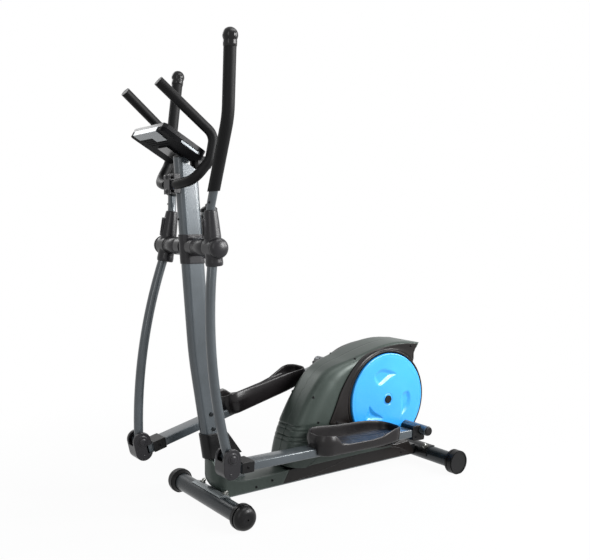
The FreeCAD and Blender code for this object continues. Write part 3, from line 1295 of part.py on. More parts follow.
def write_frame():
    """Fixed pieces."""
    save("main_frame", main_frame())
    save("front_stabiliser", stabiliser(FRONT_X, FRONT_Z, FRONT_HALF, 58))
    save("rear_stabiliser", stabiliser(REAR_X, REAR_Z, REAR_HALF, 122))
    save("front_collars", both(front_collar()))
    save("rear_caps", both(rear_cap()))
    wheel = transport_wheel()
    save("wheel_left", wheel)
    save("wheel_right", mirror(wheel))
    save("frame_bolts", frame_bolts())
    save("mast", mast())
    save("mast_boot", mast_boot())
    save("pivot_collar", pivot_collar())
    save("pivot_axle", pivot_axle())
    save("pulse_bar", pulse_bar())
    save("pulse_grips", pulse_grips())
    save("bar_clamp", bar_clamp())
    save("console_back", console_back())
    save("console_front", console_front())
    save("console_window", console_window())
    save("console_trim", console_trim())
    for i, y in enumerate(BUTTON_YS):
        save("console_button_%d" % (i + 1), console_button(y))
    save("tension_base", tension_base())
    save("tension_knob", tension_knob())
    save("bottle", bottle())
    save("bottle_cage", bottle_cage())


def write_covers():
    """Covers of the rail and the drive."""
    save("front_cowl", front_cowl())
    save("rail_cover", rear_cover())
    outer = house_outer()
    save("housing", housing(outer))
    trim = house_trim(outer)
    save("housing_trim", both(trim))
    save("cover_screws", cover_screws())


def write_drive():
    """Crank, discs, flywheel and brake."""
    save("bearings", bearings())
    save("crank", crank())
    save("crank_pulley", pulley())
    left = disc()
    save("disc_left", left)
    save("disc_right", turned(mirror(left), CRANK_X, CRANK_Z, 180))
    save("disc_caps", both(centre_cap()))
    save("flywheel", flywheel())
    save("belt", belt())
    save("idler", idler())
    save("magnet_bracket", magnet_bracket())


def write_arms():
    """Both swing arms and both pedal arms."""
    swing = {"swing_tube": swing_tube(), "handle_tube": handle_tube(), "handle_grip": handle_grip(),
             "handle_ball": handle_ball()}
    pedal = {"pedal_tube": pedal_tube(), "foot_tray": foot_tray()}
    groups = {"pedal_pins": [crank_pin(), joint_bolt()], "joint_cover": joint_cover(),
              "pedal_covers": [pedal_collar(), end_block(), end_cap()]}
    arm = [arm_cover(), hub_cap()]
    for side, word, data in ((-1, "left", LEFT), (1, "right", RIGHT)):
        for name, shape in swing.items():
            save("%s_%s" % (name, word), place_swing(shape, side, data))
        for name, shape in pedal.items():
            save("%s_%s" % (name, word), place_pedal(shape, side, data))
        for name, shapes in groups.items():
            save("%s_%s" % (name, word), [place_pedal(shape, side, data) for shape in shapes])
        save("arm_cover_%s" % word, [place_swing(shape, side, data) for shape in arm])


write_frame()
write_covers()
write_drive()
write_arms()
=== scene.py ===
# %% [markdown]
# # An elliptical trainer
#
# The machine has a leaning mast, two swinging handle arms, two pedal arms, a drive housing with bright
# blue discs and two cross feet. It could all be modelled here, but its hard parts already have their true
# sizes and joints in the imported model. So this lesson keeps those, gives every one of them its real finish,
# and rebuilds only the moulded pieces, whose soft shapes a CAD solid can't carry.

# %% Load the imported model
import json
import math

import bmesh
import bpy
from mathutils import Matrix, Vector
from mathutils.bvhtree import BVHTree

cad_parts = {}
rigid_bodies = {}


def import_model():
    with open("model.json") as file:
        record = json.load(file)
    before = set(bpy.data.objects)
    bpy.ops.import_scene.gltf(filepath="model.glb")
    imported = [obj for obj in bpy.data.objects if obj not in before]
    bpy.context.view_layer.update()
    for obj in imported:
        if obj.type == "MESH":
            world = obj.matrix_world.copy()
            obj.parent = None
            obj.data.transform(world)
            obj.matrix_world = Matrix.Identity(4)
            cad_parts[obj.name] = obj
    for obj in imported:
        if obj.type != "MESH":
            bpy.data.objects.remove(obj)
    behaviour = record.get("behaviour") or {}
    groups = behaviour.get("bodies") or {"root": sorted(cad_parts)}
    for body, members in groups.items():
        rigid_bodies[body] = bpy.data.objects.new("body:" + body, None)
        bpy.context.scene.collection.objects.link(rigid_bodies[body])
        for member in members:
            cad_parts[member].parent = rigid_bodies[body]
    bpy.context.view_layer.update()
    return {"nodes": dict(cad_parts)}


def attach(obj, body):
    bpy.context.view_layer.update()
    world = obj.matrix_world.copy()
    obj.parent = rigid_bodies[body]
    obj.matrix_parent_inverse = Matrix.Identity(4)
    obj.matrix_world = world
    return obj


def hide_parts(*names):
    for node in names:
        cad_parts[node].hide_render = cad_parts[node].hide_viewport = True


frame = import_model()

nodes = frame["nodes"]

# %% [markdown]
# Colours are written as the sRGB hex values a paint chart would give. Blender's shaders work in linear
# light. Linear numbers could be typed in by hand, but nobody can read them, so one function turns them over.
# Patterns are sized in millimetres: a noise of scale s repeats about every 1/s metres, so a second function
# turns a grain size into a scale. A third adds a node with its settings and links in one call.

# %% Colour and scale helpers
MM = 0.001


def paint(code):
    """Linear colour of an sRGB hex code."""
    channels = [int(code[i:i + 2], 16) / 255 for i in (1, 3, 5)]
    linear = [c / 12.92 if c <= 0.04045 else ((c + 0.055) / 1.055) ** 2.4 for c in channels]
    return (*linear, 1.0)


def grain(size_mm):
    """Noise scale whose pattern repeats about every size_mm."""
    return 1.0 / (size_mm * MM)


def add(tree, kind, inputs=None, **settings):
    """A node with its settings, its socket values and its links (a value that is a socket is linked)."""
    node = tree.nodes.new(kind)
    for name, value in settings.items():
        setattr(node, name, value)
    for name, value in (inputs or {}).items():
        socket = node.inputs[name]
        if isinstance(value, bpy.types.NodeSocket):
            tree.links.new(value, socket)
        else:
            socket.default_value = value
    return node


def start_material(name):
    """An empty material with a Principled shader, its output and object coordinates."""
    material = bpy.data.materials.new(name)
    material.use_nodes = True
    tree = material.node_tree
    tree.nodes.clear()
    shader = add(tree, "ShaderNodeBsdfPrincipled")
    add(tree, "ShaderNodeOutputMaterial", {"Surface": shader.outputs["BSDF"]})
    where = add(tree, "ShaderNodeTexCoord").outputs["Object"]
    return material, tree, shader, where


print("a 1 mm grain is a noise scale of", grain(1.0))

# %% [markdown]
# Most of the machine is either painted metal or moulded plastic. A flat colour would look like a toy, and a
# tree of its own for each finish would say the same thing twenty times. Both are one idea: a body colour
# that drifts a little over a hand's width, a fine grain that breaks up the gloss, and a bump from the same
# grain. What differs is the grain's size, how metallic it is and how rough, so one function makes them all.

# %% Coated and moulded surfaces
def coated(name, dark, light, rough, grain_mm, bump_mm, metallic=0.0, coat=0.0, drift_mm=140.0, spread=0.06,
           shine=0.5):
    """Paint or plastic: two close colours that drift, a fine grain in the gloss and in the surface."""
    material, tree, shader, where = start_material(name)
    drift = add(tree, "ShaderNodeTexNoise", {"Vector": where, "Scale": grain(drift_mm), "Detail": 3.0})
    fine = add(tree, "ShaderNodeTexNoise", {"Vector": where, "Scale": grain(grain_mm), "Detail": 2.0})
    both = add(tree, "ShaderNodeMath", {0: drift.outputs["Fac"], 1: fine.outputs["Fac"]}, operation="ADD")
    share = add(tree, "ShaderNodeMapRange", {"Value": both.outputs[0], "From Min": 0.7, "From Max": 1.3})
    tint = add(tree, "ShaderNodeMix", {"Factor": share.outputs[0], "A": paint(dark), "B": paint(light)},
               data_type="RGBA")
    gloss = add(tree, "ShaderNodeMapRange", {"Value": both.outputs[0], "From Min": 0.6, "From Max": 1.4,
                                             "To Min": rough - spread, "To Max": rough + spread})
    bump = add(tree, "ShaderNodeBump", {"Height": fine.outputs["Fac"], "Distance": bump_mm * MM,
                                        "Strength": 0.6})
    tree.links.new(tint.outputs["Result"], shader.inputs["Base Color"])
    tree.links.new(gloss.outputs[0], shader.inputs["Roughness"])
    tree.links.new(bump.outputs["Normal"], shader.inputs["Normal"])
    shader.inputs["Metallic"].default_value = metallic
    shader.inputs["Coat Weight"].default_value = coat
    shader.inputs["Coat Roughness"].default_value = 0.12
    shader.inputs["Specular IOR Level"].default_value = shine
    return material


print("one recipe serves paint, plastic, foam, rubber and plated steel")

# %% [markdown]
# ## Metal finishes
#
# The frame is powder coated: a dry paint baked to a slightly rippled skin with fine metal flake. The
# fasteners are plated and the shafts bare. They could share one grey, but it is the change from soft flake
# to hard glint that tells a painted tube from a bolt, so each has its own roughness and metal share. A grain
# too fine to show is drawn coarser, at about a millimetre.

# %% Metal finishes
# Grey flake under a clear skin: a soft broad light down each tube, with a thin sharp one on top.
mast_paint = coated("metallic powder coat", "#383e42", "#495055", 0.32, 1.6, 0.03, metallic=0.3, coat=0.45)
# The same coat in near black: it shows its form only by its highlights.
foot_paint = coated("dark powder coat", "#171c20", "#222a2f", 0.30, 1.6, 0.03, metallic=0.2, shine=0.4)
# Pale flake on the rail: a dull silver line between the floor and the dark covers.
rail_paint = coated("silver-grey rail paint", "#6f7476", "#7f8587", 0.38, 2.0, 0.03, metallic=0.6, coat=0.1)
# Bright zinc: small cold glints on the bolts, a little milky.
zinc = coated("bright zinc plate", "#6c6d6a", "#868783", 0.26, 0.9, 0.02, metallic=1.0, spread=0.08)
# Lathe-turned steel: clean and bright, its fine tool marks blurred to a satin.
turned_steel = coated("turned steel", "#74777b", "#8c9094", 0.28, 0.7, 0.02, metallic=1.0, spread=0.08)
# Cast iron: a darker, coarser metal that hardly mirrors anything.
cast_iron = coated("machined cast iron", "#3a3b3d", "#505254", 0.42, 1.5, 0.05, metallic=0.9)
# Black oxide on the screws: a black that still glints at the slot's edges.
black_steel = coated("black oxide steel", "#151516", "#222224", 0.30, 0.8, 0.02, metallic=0.9)
print(len(bpy.data.materials), "finishes so far")

# %% [markdown]
# ## Plastics, foam and rubber
#
# The covers are moulded in ABS and polypropylene, whose skins copy the tool: spark-eroded steel leaves a fine
# matt grain, polished steel a gloss. One black plastic for all would melt them into one shape, so each
# differs a little in warmth, gloss and grain, as the real ones do side by side.

# %% Plastics, foam and rubber
# Polypropylene: a waxy black, softer in its highlights than ABS.
cap_plastic = coated("black moulded polypropylene", "#0a0a0b", "#121213", 0.36, 0.9, 0.05, shine=0.22)
# Spark-eroded ABS: a warm charcoal with a fine matt tooth.
charcoal = coated("charcoal spark-eroded ABS", "#1a191c", "#252427", 0.32, 0.8, 0.05, shine=0.3)
# ABS with metal flake in it: grey-green, with a wide silky light over the nose.
house_paint = coated("grey-green metallic ABS", "#2c3430", "#3b4540", 0.40, 1.2, 0.02, metallic=0.25,
                     shine=0.4)
# Satin ABS: a brownish black that sets off the blue discs.
trim_plastic = coated("black-brown satin ABS", "#110f0e", "#1a1615", 0.30, 1.0, 0.03, shine=0.25)
# Self-coloured gloss ABS: an even bright blue, its gloss wavering slightly.
disc_plastic = coated("blue gloss ABS", "#2a92e0", "#38a4ee", 0.30, 3.0, 0.01, coat=0.1, drift_mm=220.0)
# Ribbed tray polypropylene: a warm black with long soft highlights on its walls.
tray_plastic = coated("tray polypropylene", "#100e0f", "#191617", 0.30, 1.0, 0.05, shine=0.28)
# Closed-cell foam: a dry black that gives back almost no light.
foam_skin = coated("closed-cell foam", "#09090a", "#111112", 0.5, 0.9, 0.03, shine=0.14)
# Polished ABS: a black ball with one clear small highlight.
ball_plastic = coated("gloss black ABS", "#0c0c0d", "#151516", 0.22, 9.0, 0.001, shine=0.25, spread=0.03)
# The console's face: black with a fine even grain.
console_plastic = coated("console ABS", "#0e0e10", "#17171a", 0.34, 0.8, 0.05, shine=0.2)
# The console's back, coarser from the tool: flat black even at a grazing look.
console_back_plastic = coated("spark-eroded console back", "#0c0c0e", "#141416", 0.62, 0.8, 0.06, shine=0.04)
# Silver paint on plastic: metallic but soft, without a metal's hard edge.
silver_plastic = coated("silver painted ABS", "#64686b", "#757a7d", 0.32, 1.2, 0.02, metallic=0.6, coat=0.1)
# Silicone keys: a dull mid grey.
key_rubber = coated("grey key rubber", "#4c4f52", "#5a5e61", 0.55, 0.8, 0.03, shine=0.3)
# Belt rubber: dusty and matt.
belt_rubber = coated("belt rubber", "#131314", "#1c1c1d", 0.62, 1.0, 0.05, shine=0.3)
# Blown polyethylene: a milky grey-white with a soft sheen.
bottle_plastic = coated("milky polyethylene", "#8f918f", "#a5a7a5", 0.34, 2.5, 0.02)
# Smoked acrylic over the display: near black and mirror smooth.
lens_plastic = coated("smoked acrylic", "#0c1112", "#141a1b", 0.08, 6.0, 0.002, spread=0.02)
# Liquid crystal glass: a flat grey-green under a glossy skin.
lcd = coated("liquid crystal glass", "#77806f", "#838c7a", 0.16, 4.0, 0.003, coat=0.6, spread=0.03)
print(len(bpy.data.materials), "finishes in all")

# %% [markdown]
# ## Pieces of two colours
#
# Three pieces change colour across a line: the rail is black behind the housing, the bolts up on the mast are
# blackened, and the mast wears a dark head plate. Each could be cut in two, but its mesh belongs to the
# model, so the colour changes in the material instead, at a plane across one axis.

# %% Pieces of two colours
BLEND_MM = 1.0


def dipped(material, axis, from_mm, code):
    """Gives a material another colour beyond a plane across one axis."""
    tree = material.node_tree
    shader = [node for node in tree.nodes if node.type == "BSDF_PRINCIPLED"][0]
    split = add(tree, "ShaderNodeSeparateXYZ", {0: add(tree, "ShaderNodeTexCoord").outputs["Object"]})
    beyond = add(tree, "ShaderNodeMapRange", {"Value": split.outputs[axis], "From Min": from_mm * MM,
                                              "From Max": (from_mm + BLEND_MM) * MM})
    plain = shader.inputs["Base Color"].links[0].from_socket
    both = add(tree, "ShaderNodeMix", {"Factor": beyond.outputs[0], "A": plain, "B": paint(code)},
               data_type="RGBA")
    tree.links.new(both.outputs["Result"], shader.inputs["Base Color"])


RAIL_TAIL_X, BLACK_BOLTS_Z, HEAD_PLATE_Z = 505, 250, 1190
dipped(rail_paint, "X", RAIL_TAIL_X, "#1b1c1e")
dipped(zinc, "Z", BLACK_BOLTS_Z, "#2b2e30")
# The mast's own coat, with a near-black plate at its head.
post_paint = mast_paint.copy()
post_paint.name = "metallic powder coat with a black head plate"
dipped(post_paint, "Z", HEAD_PLATE_Z, "#0c0c0e")
print("two-colour finishes:", rail_paint.name, "/", zinc.name, "/", post_paint.name)

# %% [markdown]
# ## Which node wears which finish
#
# The model's nodes arrive in plain working colours. Their slots could be filled one by one further down, but
# a single table shows at a glance what the machine is made of, and the last line tells if a node was missed.

# %% Finishes of the nodes
FINISHES = {
    "main_frame": rail_paint, "front_stabiliser": foot_paint, "rear_stabiliser": foot_paint,
    "front_collars": cap_plastic, "rear_caps": cap_plastic, "frame_bolts": zinc, "mast": post_paint,
    "mast_boot": cap_plastic, "pivot_collar": charcoal, "pivot_axle": turned_steel, "pulse_bar": turned_steel,
    "pulse_grips": foam_skin, "bar_clamp": charcoal, "console_back": console_back_plastic,
    "console_front": console_plastic, "console_window": lens_plastic, "console_trim": silver_plastic,
    "tension_base": cap_plastic, "bottle": bottle_plastic, "bottle_cage": cap_plastic,
    "front_cowl": house_paint, "rail_cover": trim_plastic, "housing": house_paint,
    "housing_trim": trim_plastic,
    "cover_screws": turned_steel, "bearings": turned_steel, "belt": belt_rubber, "wheel_left": cap_plastic,
    "wheel_right": cap_plastic, "console_button_1": key_rubber, "console_button_2": key_rubber,
    "tension_knob": cap_plastic, "crank": cast_iron, "crank_pulley": cap_plastic, "disc_left": disc_plastic,
    "disc_right": disc_plastic, "disc_caps": cap_plastic, "flywheel": cast_iron, "idler": cap_plastic,
    "magnet_bracket": zinc,
}
SIDE = {"left": -1, "right": 1}
for word in SIDE:
    FINISHES.update({
        "swing_tube_" + word: mast_paint, "handle_tube_" + word: mast_paint, "handle_grip_" + word: foam_skin,
        "handle_ball_" + word: ball_plastic, "arm_cover_" + word: charcoal, "pedal_tube_" + word: mast_paint,
        "foot_tray_" + word: tray_plastic, "pedal_pins_" + word: turned_steel,
        "joint_cover_" + word: charcoal, "pedal_covers_" + word: cap_plastic,
    })
for node, finish in FINISHES.items():
    nodes[node].data.materials.clear()
    nodes[node].data.materials.append(finish)
print(len(FINISHES), "nodes painted,", sorted(set(nodes) - set(FINISHES)), "left")

# %% [markdown]
# ## Moulded covers
#
# A moulded cover is a soft shell: it has no flat faces and no sharp edges, so boxes and cylinders never look
# right. Two ways of making one are used here. Where the cover follows an outline, its points are laid out as
# a grid: one column for each place on the outline, one row for each step from the middle of the side to the
# crest. The grid can then be dented for grooves and dimples. Where several round shapes flow into each
# other, their meshes are fused by a voxel remesh and smoothed, which gives the fillets of a mould.

# %% Mesh helpers
def linked(name, data):
    """A new object holding a mesh, lamp or camera, put in the scene."""
    made = bpy.data.objects.new(name, data)
    bpy.context.collection.objects.link(made)
    return made


def finish_mesh(mesh, sharp_deg=38.0):
    """Merged, outward, smooth except at sharp edges."""
    work = bmesh.new()
    work.from_mesh(mesh)
    bmesh.ops.remove_doubles(work, verts=work.verts, dist=0.00002)
    bmesh.ops.dissolve_degenerate(work, edges=work.edges, dist=0.00001)
    bmesh.ops.recalc_face_normals(work, faces=work.faces)
    work.to_mesh(mesh)
    work.free()
    mesh.shade_smooth()
    mesh.set_sharp_from_angle(angle=math.radians(sharp_deg))
    return mesh


def piece(name, points_mm, faces, material, sharp_deg=38.0):
    """A new object made from points in millimetres."""
    mesh = bpy.data.meshes.new(name)
    mesh.from_pydata([Vector(p) * MM for p in points_mm], [], faces)
    finish_mesh(mesh, sharp_deg)
    mesh.materials.append(material)
    return linked(name, mesh)


def settled(source, name):
    """The mesh of an object with its modifiers run; the object itself is removed."""
    graph = bpy.context.evaluated_depsgraph_get()
    mesh = bpy.data.meshes.new_from_object(source.evaluated_get(graph))
    bpy.data.objects.remove(source)
    mesh.name = name
    return mesh


def stand_for(made, body, slot, *replaced):
    """Puts a piece on its body and hides the nodes it stands for. The slot is not used."""
    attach(made, body)
    if replaced:
        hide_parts(*replaced)
    print(made.name, len(made.data.polygons), "faces on", body)
    return made


# %% [markdown]
# Most covers below are grids: columns of points that are stitched side by side. Primitives could be cut and
# welded instead, but a grid keeps its edge loops where the light needs them.

# %% Grids
def grid(columns, closed):
    """Points and quads of a grid given as columns of equal length."""
    rows = len(columns[0])
    points = [p for column in columns for p in column]
    faces = []
    for i in range(len(columns) if closed else len(columns) - 1):
        j = (i + 1) % len(columns)
        faces += [(i * rows + k, j * rows + k, j * rows + k + 1, i * rows + k + 1) for k in range(rows - 1)]
    return points, faces


def merged(shapes, place=lambda p: p):
    """Several shapes as one list of points and faces, each point put in place."""
    points, faces = [], []
    for more_points, more_faces in shapes:
        shift = len(points)
        points += [place(p) for p in more_points]
        faces += [tuple(v + shift for v in face) for face in more_faces]
    return points, faces


def arc(centre, radius, degrees):
    """Points round a centre at each of some angles."""
    return [(centre[0] + radius * math.cos(math.radians(a)), centre[1] + radius * math.sin(math.radians(a)))
            for a in degrees]


def round_box(x0, x1, y0, y1, radius, inset=0.0):
    """Rectangle with round corners, drawn inset from its edge."""
    corners = ((x1 - radius, y1 - radius, 0), (x0 + radius, y1 - radius, 90),
               (x0 + radius, y0 + radius, 180), (x1 - radius, y0 + radius, 270))
    return [p for cx, cy, a0 in corners for p in arc((cx, cy), radius - inset, range(a0, a0 + 91, 15))]


print("two columns of three give", len(grid([[0] * 3, [1] * 3], closed=False)[1]), "faces")

# %% [markdown]
# Three small curves feed the grids: a soft step, a straight-line table and a smooth line through chosen
# points. Blender's own curve objects could do the last, but their points would have to be read back.

# %% Curves for the grids
def ease(low, high, value):
    """0 below low, 1 above high, smooth between."""
    t = min(1.0, max(0.0, (value - low) / (high - low)))
    return t * t * (3 - 2 * t)


def table(pairs, value):
    """Value of a curve given by points, straight between them."""
    for (a, fa), (b, fb) in zip(pairs, pairs[1:]):
        if value <= b:
            return fa + (fb - fa) * max(0.0, (value - a) / (b - a))
    return pairs[-1][1]


def smooth_line(points, per_run, closed=False):
    """Catmull-Rom curve through points."""
    count = len(points)
    out = []
    for i in range(count if closed else count - 1):
        near = range(i - 1, i + 3)
        pick = [points[k % count] if closed else points[min(count - 1, max(0, k))] for k in near]
        for step in range(per_run):
            t = step / per_run
            out.append(tuple(0.5 * (2 * b + (c - a) * t + (2 * a - 5 * b + 4 * c - d) * t * t
                                    + (3 * b - a - 3 * c + d) * t ** 3) for a, b, c, d in zip(*pick)))
    return out if closed else out + [tuple(points[-1])]


print("a closed square comes out as", len(smooth_line([(0, 0), (1, 0), (1, 1), (0, 1)], 6, True)), "points")

# %% [markdown]
# The drive housing is a clamshell of two moulded shells. Its front swells from flat sides to a round nose,
# and low on the nose four accordion grooves run round to the sides. A bevelled extrusion would give it one
# edge radius all round; here the shoulder is wide at the nose and tight at the tail. So the outline comes
# first, closely spaced where the grooves will be.

# %% Housing outline
CRANK = (334.7, 302.8)
HOUSE_BASE, HOUSE_HALF, WELL_R, WELL_FLOOR, RIM_R = 108.0, 88.0, 181.0, 69.0, 191.0
NOSE = [(-108, 108), (-104, 143), (-91, 194), (-76, 233), (-53, 278), (-13, 342), (40, 408), (79, 438),
        (125, 456), (175, 469), (229, 485), (283, 499), (339, 510), (396, 515), (450, 513)]
FIN_TIP, FIN_ROOT = (508, 505), (482, 473)
RIM_START_DEG, RIM_STEP_DEG, RIM_STEPS = 42, 3, 41
FINE_STEP, COARSE_STEP, FINE_BELOW_Z = 1.6, 7.0, 256


def polar(radius, degrees):
    """Point at a radius and angle round the crank axle."""
    return arc(CRANK, radius, [degrees])[0]


def spaced(points, step_at):
    """Points picked along a line so that they lie a chosen step apart."""
    out, run = [points[0]], 0.0
    for a, b in zip(points, points[1:]):
        run += math.dist(a, b)
        if run >= step_at(b):
            out.append(b)
            run = 0.0
    return out


nose_line = spaced(smooth_line(NOSE, 80), lambda p: FINE_STEP if p[1] < FINE_BELOW_Z else COARSE_STEP)
rim_line = [polar(RIM_R, RIM_START_DEG - RIM_STEP_DEG * i) for i in range(RIM_STEPS)]
outline = nose_line + [FIN_TIP, FIN_ROOT] + rim_line
print("housing outline has", len(outline), "points,", len(nose_line), "of them on the nose")

# %% [markdown]
# Every column of the housing's grid goes from the axle hole, up the wall of the disc's well, over the flat
# side, round the shoulder and over the crest to the other side. The grooves are dents in those points: they
# could be bump in the finish, but they show on the nose's edge against the light, so they are cut in earnest.

# %% Housing columns
GROOVES = [(247.0, 3.2), (233.0, 2.4), (210.0, 3.2), (195.0, 2.4)]
GROOVE_HALF, GROOVE_TOP, STEP_DEPTH = 2.1, 250.0, 1.6
SIDE_ROWS, SHOULDER_ROWS, SEAM_HALF, SEAM_DEPTH = 24, 14, 0.7, 0.3
SHOULDER_DEEP = [(-120, 64), (60, 60), (140, 36), (240, 20), (440, 16), (460, 8)]
SHOULDER_WIDE = [(-120, 54), (60, 50), (140, 34), (240, 22), (440, 16), (460, 8)]
TAIL_SHOULDER = 4.0
WELL = [(14, WELL_FLOOR), (60, WELL_FLOOR), (120, WELL_FLOOR), (178, WELL_FLOOR), (WELL_R, WELL_FLOOR + 3),
        (WELL_R, HOUSE_HALF - 2), (WELL_R + 0.6, HOUSE_HALF - 0.6), (WELL_R + 2, HOUSE_HALF)]


def dent(x, z):
    """How far the nose is pushed in by its accordion grooves."""
    fade = 1 - ease(-12, 10, x)
    depth = sum(d * math.exp(-((z - at) / GROOVE_HALF) ** 2) for at, d in GROOVES)
    return fade * (depth + STEP_DEPTH * (1 - ease(GROOVE_TOP - 6, GROOVE_TOP, z)))


def towards(p):
    """Distance and direction from the crank axle to a point."""
    reach = math.dist(p, CRANK)
    return reach, ((p[0] - CRANK[0]) / reach, (p[1] - CRANK[1]) / reach)


def side_profile(reach):
    """Radius and half width from the axle hole, up the disc's well and along the flat side to a reach."""
    edge = WELL_R + 2
    return WELL + [(edge + (reach - edge) * k / SIDE_ROWS, HOUSE_HALF) for k in range(1, SIDE_ROWS + 1)]


print("the well's profile and the side take", len(side_profile(300.0)), "rows")

# %% [markdown]
# The shoulder between side and crest is a quarter ellipse, as deep along the side and as wide across the
# crest as two tables say for that place. Past the crest a narrow groove marks the seam where the two shells
# meet. One half is worked out and mirrored, so that the seam is shared and both sides match.

# %% The housing column by column
def house_column(p, inward, deep, wide):
    """One column of the housing, from the left axle hole over the crest to the right one."""
    reach, ray = towards((p[0] + inward[0] * deep, p[1] + inward[1] * deep))
    half = [(CRANK[0] + ray[0] * r, CRANK[1] + ray[1] * r, y, (0, 0, -1)) for r, y in side_profile(reach)]
    for k in range(1, SHOULDER_ROWS + 1):
        a = math.radians(90 * k / SHOULDER_ROWS)
        into = deep * (1 - math.sin(a))
        half.append((p[0] + inward[0] * into, p[1] + inward[1] * into, HOUSE_HALF - wide * (1 - math.cos(a)),
                     (inward[0] * math.sin(a), inward[1] * math.sin(a), -math.cos(a))))
    crest = (inward[0], inward[1], 0)
    half += [(p[0], p[1], (HOUSE_HALF - wide) * share, crest) for share in (0.7, 0.4, 0.12)]
    half.append((p[0], p[1], SEAM_HALF, crest))
    half = [(x + n[0] * dent(x, z), y + n[2] * dent(x, z), z + n[1] * dent(x, z)) for x, z, y, n in half]
    seam = (p[0] + inward[0] * SEAM_DEPTH, 0.0, p[1] + inward[1] * SEAM_DEPTH)
    return [(x, -y, z) for x, y, z in half] + [seam] + [(x, y, z) for x, y, z in reversed(half)]


def inward_normal(points, i):
    """Unit normal of an open line, towards the crank."""
    a, b = points[max(0, i - 1)], points[min(len(points) - 1, i + 1)]
    n = (b[1] - a[1], a[0] - b[0])
    size = math.hypot(*n)
    n = (n[0] / size, n[1] / size)
    away = (CRANK[0] - points[i][0]) * n[0] + (CRANK[1] - points[i][1]) * n[1]
    return n if away > 0 else (-n[0], -n[1])


columns = []
for i, p in enumerate(outline):
    on_nose = i < len(nose_line)
    deep = table(SHOULDER_DEEP, p[0]) if on_nose else TAIL_SHOULDER
    wide = table(SHOULDER_WIDE, p[0]) if on_nose else TAIL_SHOULDER
    columns.append(house_column(p, inward_normal(outline, i), deep, wide))
print("housing grid", len(columns), "columns of", len(columns[0]))

# %% [markdown]
# The outline is open along the base, where the housing sits on the rail cover, so each side still lacks its
# part below the well. A fan of straight columns closes it. They use the same side profile as the grid, so
# their ends meet it point for point. A wall thickness comes last, because the shells are hollow.

# %% Housing side below the well
FLAT_ROWS, FAN_STEPS, WALL_MM = len(WELL) + SIDE_ROWS, 30, 2.8
rear_x, front_x = outline[-1][0], columns[0][FLAT_ROWS - 1][0]
shapes = [grid(columns, closed=False)]
for side in SIDE.values():
    fan = []
    for i in range(1, FAN_STEPS):
        reach, ray = towards((rear_x + (front_x - rear_x) * i / FAN_STEPS, HOUSE_BASE))
        fan.append([(CRANK[0] + ray[0] * r, side * y, CRANK[1] + ray[1] * r) for r, y in side_profile(reach)])
    rear, front = [(c if side < 0 else c[::-1])[:FLAT_ROWS] for c in (columns[-1], columns[0])]
    shapes.append(grid([rear] + fan + [front], closed=False))
housing = piece("drive_housing", *merged(shapes), house_paint, 50.0)
wall = housing.modifiers.new("wall", "SOLIDIFY")
wall.thickness, wall.offset = WALL_MM * MM, -1.0
stand_for(housing, "frame", "house_plastic", "housing")

# %% [markdown]
# The crescent trim is a second moulding laid on the housing's side. Seen from the crank axle it is a ring
# whose outer edge runs out to a fin. A boolean of two outlines would leave flat faces, so it is laid out in
# polar columns: a bead round the disc, a narrow groove, then a dished face that ends in a rounded lip.

# %% Crescent trim
RING_R, BEAD_TOP, TRIM_BACK, FACE_ROWS, RING_COLUMNS = 190.0, 95.0, 66.0, 12, 300
TRIM_LINE = [(58, 246), (83, 294), (113, 359), (149, 413), (190, 455), (243, 484), (313, 501), (396, 508)]
TRIM_EDGE = [polar(RING_R, 202)] + smooth_line(TRIM_LINE, 6)
TRIM_EDGE += [(450, 507), (497, 501), (476, 472), polar(RING_R, 42)]


def ray_reach(edge, c, s):
    """Distance from the crank axle to an open outline along a direction."""
    far = 0.0
    for a, b in zip(edge, edge[1:]):
        ax, az, bx, bz = a[0] - CRANK[0], a[1] - CRANK[1], b[0] - CRANK[0], b[1] - CRANK[1]
        across_a, across_b = ax * s - az * c, bx * s - bz * c
        if across_a * across_b <= 0 and across_a != across_b:
            t = across_a / (across_a - across_b)
            far = max(far, (ax + (bx - ax) * t) * c + (az + (bz - az) * t) * s)
    return far


def trim_column(degrees, side):
    """Profile of the trim at one angle: bead, groove, dished face and lip, back to the bead."""
    c, s = math.cos(math.radians(degrees)), math.sin(math.radians(degrees))
    out = max(RING_R, ray_reach(TRIM_EDGE, c, s))
    wide = ease(0, 12, out - RING_R)
    slim = 1 - wide
    profile = [(WELL_R, 80), (WELL_R, 93.6), (181.6, 94.7), (183, BEAD_TOP), (186, BEAD_TOP), (187.6, 94.3),
               (188.4, 92.6 - 1.2 * slim), (189.2, 92.0 - 2 * slim)]
    for k in range(1, FACE_ROWS + 1):
        t = k / (FACE_ROWS + 1)
        rise = 94.2 - 2.2 * math.sin(math.pi * t) * wide
        profile.append((RING_R + (out - RING_R - 1.2) * t, rise * wide + 89.5 * slim))
    profile += [(out - 0.9, 93.6 * wide + 88.9 * slim), (out - 0.2, 92.6 * wide + 88.4 * slim),
                (out, 91.2 * wide + 87.8 * slim), (out, TRIM_BACK + 14 * slim),
                (WELL_R + 1, TRIM_BACK + 14 * slim), profile[0]]
    return [(CRANK[0] + r * c, side * y, CRANK[1] + r * s) for r, y in profile]


for word, side in SIDE.items():
    ring = [trim_column(360 * i / RING_COLUMNS, side) for i in range(RING_COLUMNS)]
    trim = piece("crescent_trim_" + word, *grid(ring, closed=True), trim_plastic, 42.0)
    stand_for(trim, "frame", "trim_plastic", *(["housing_trim"] if side < 0 else []))

# %% [markdown]
# The blue discs turn with the crank. Each is one moulding with a rolled edge and three flame-shaped dimples
# that are deepest near their outer side. Sculpting would not repeat, and a boolean would leave hard rims, so
# the depth of each point comes from how far inside a dimple's outline it lies.

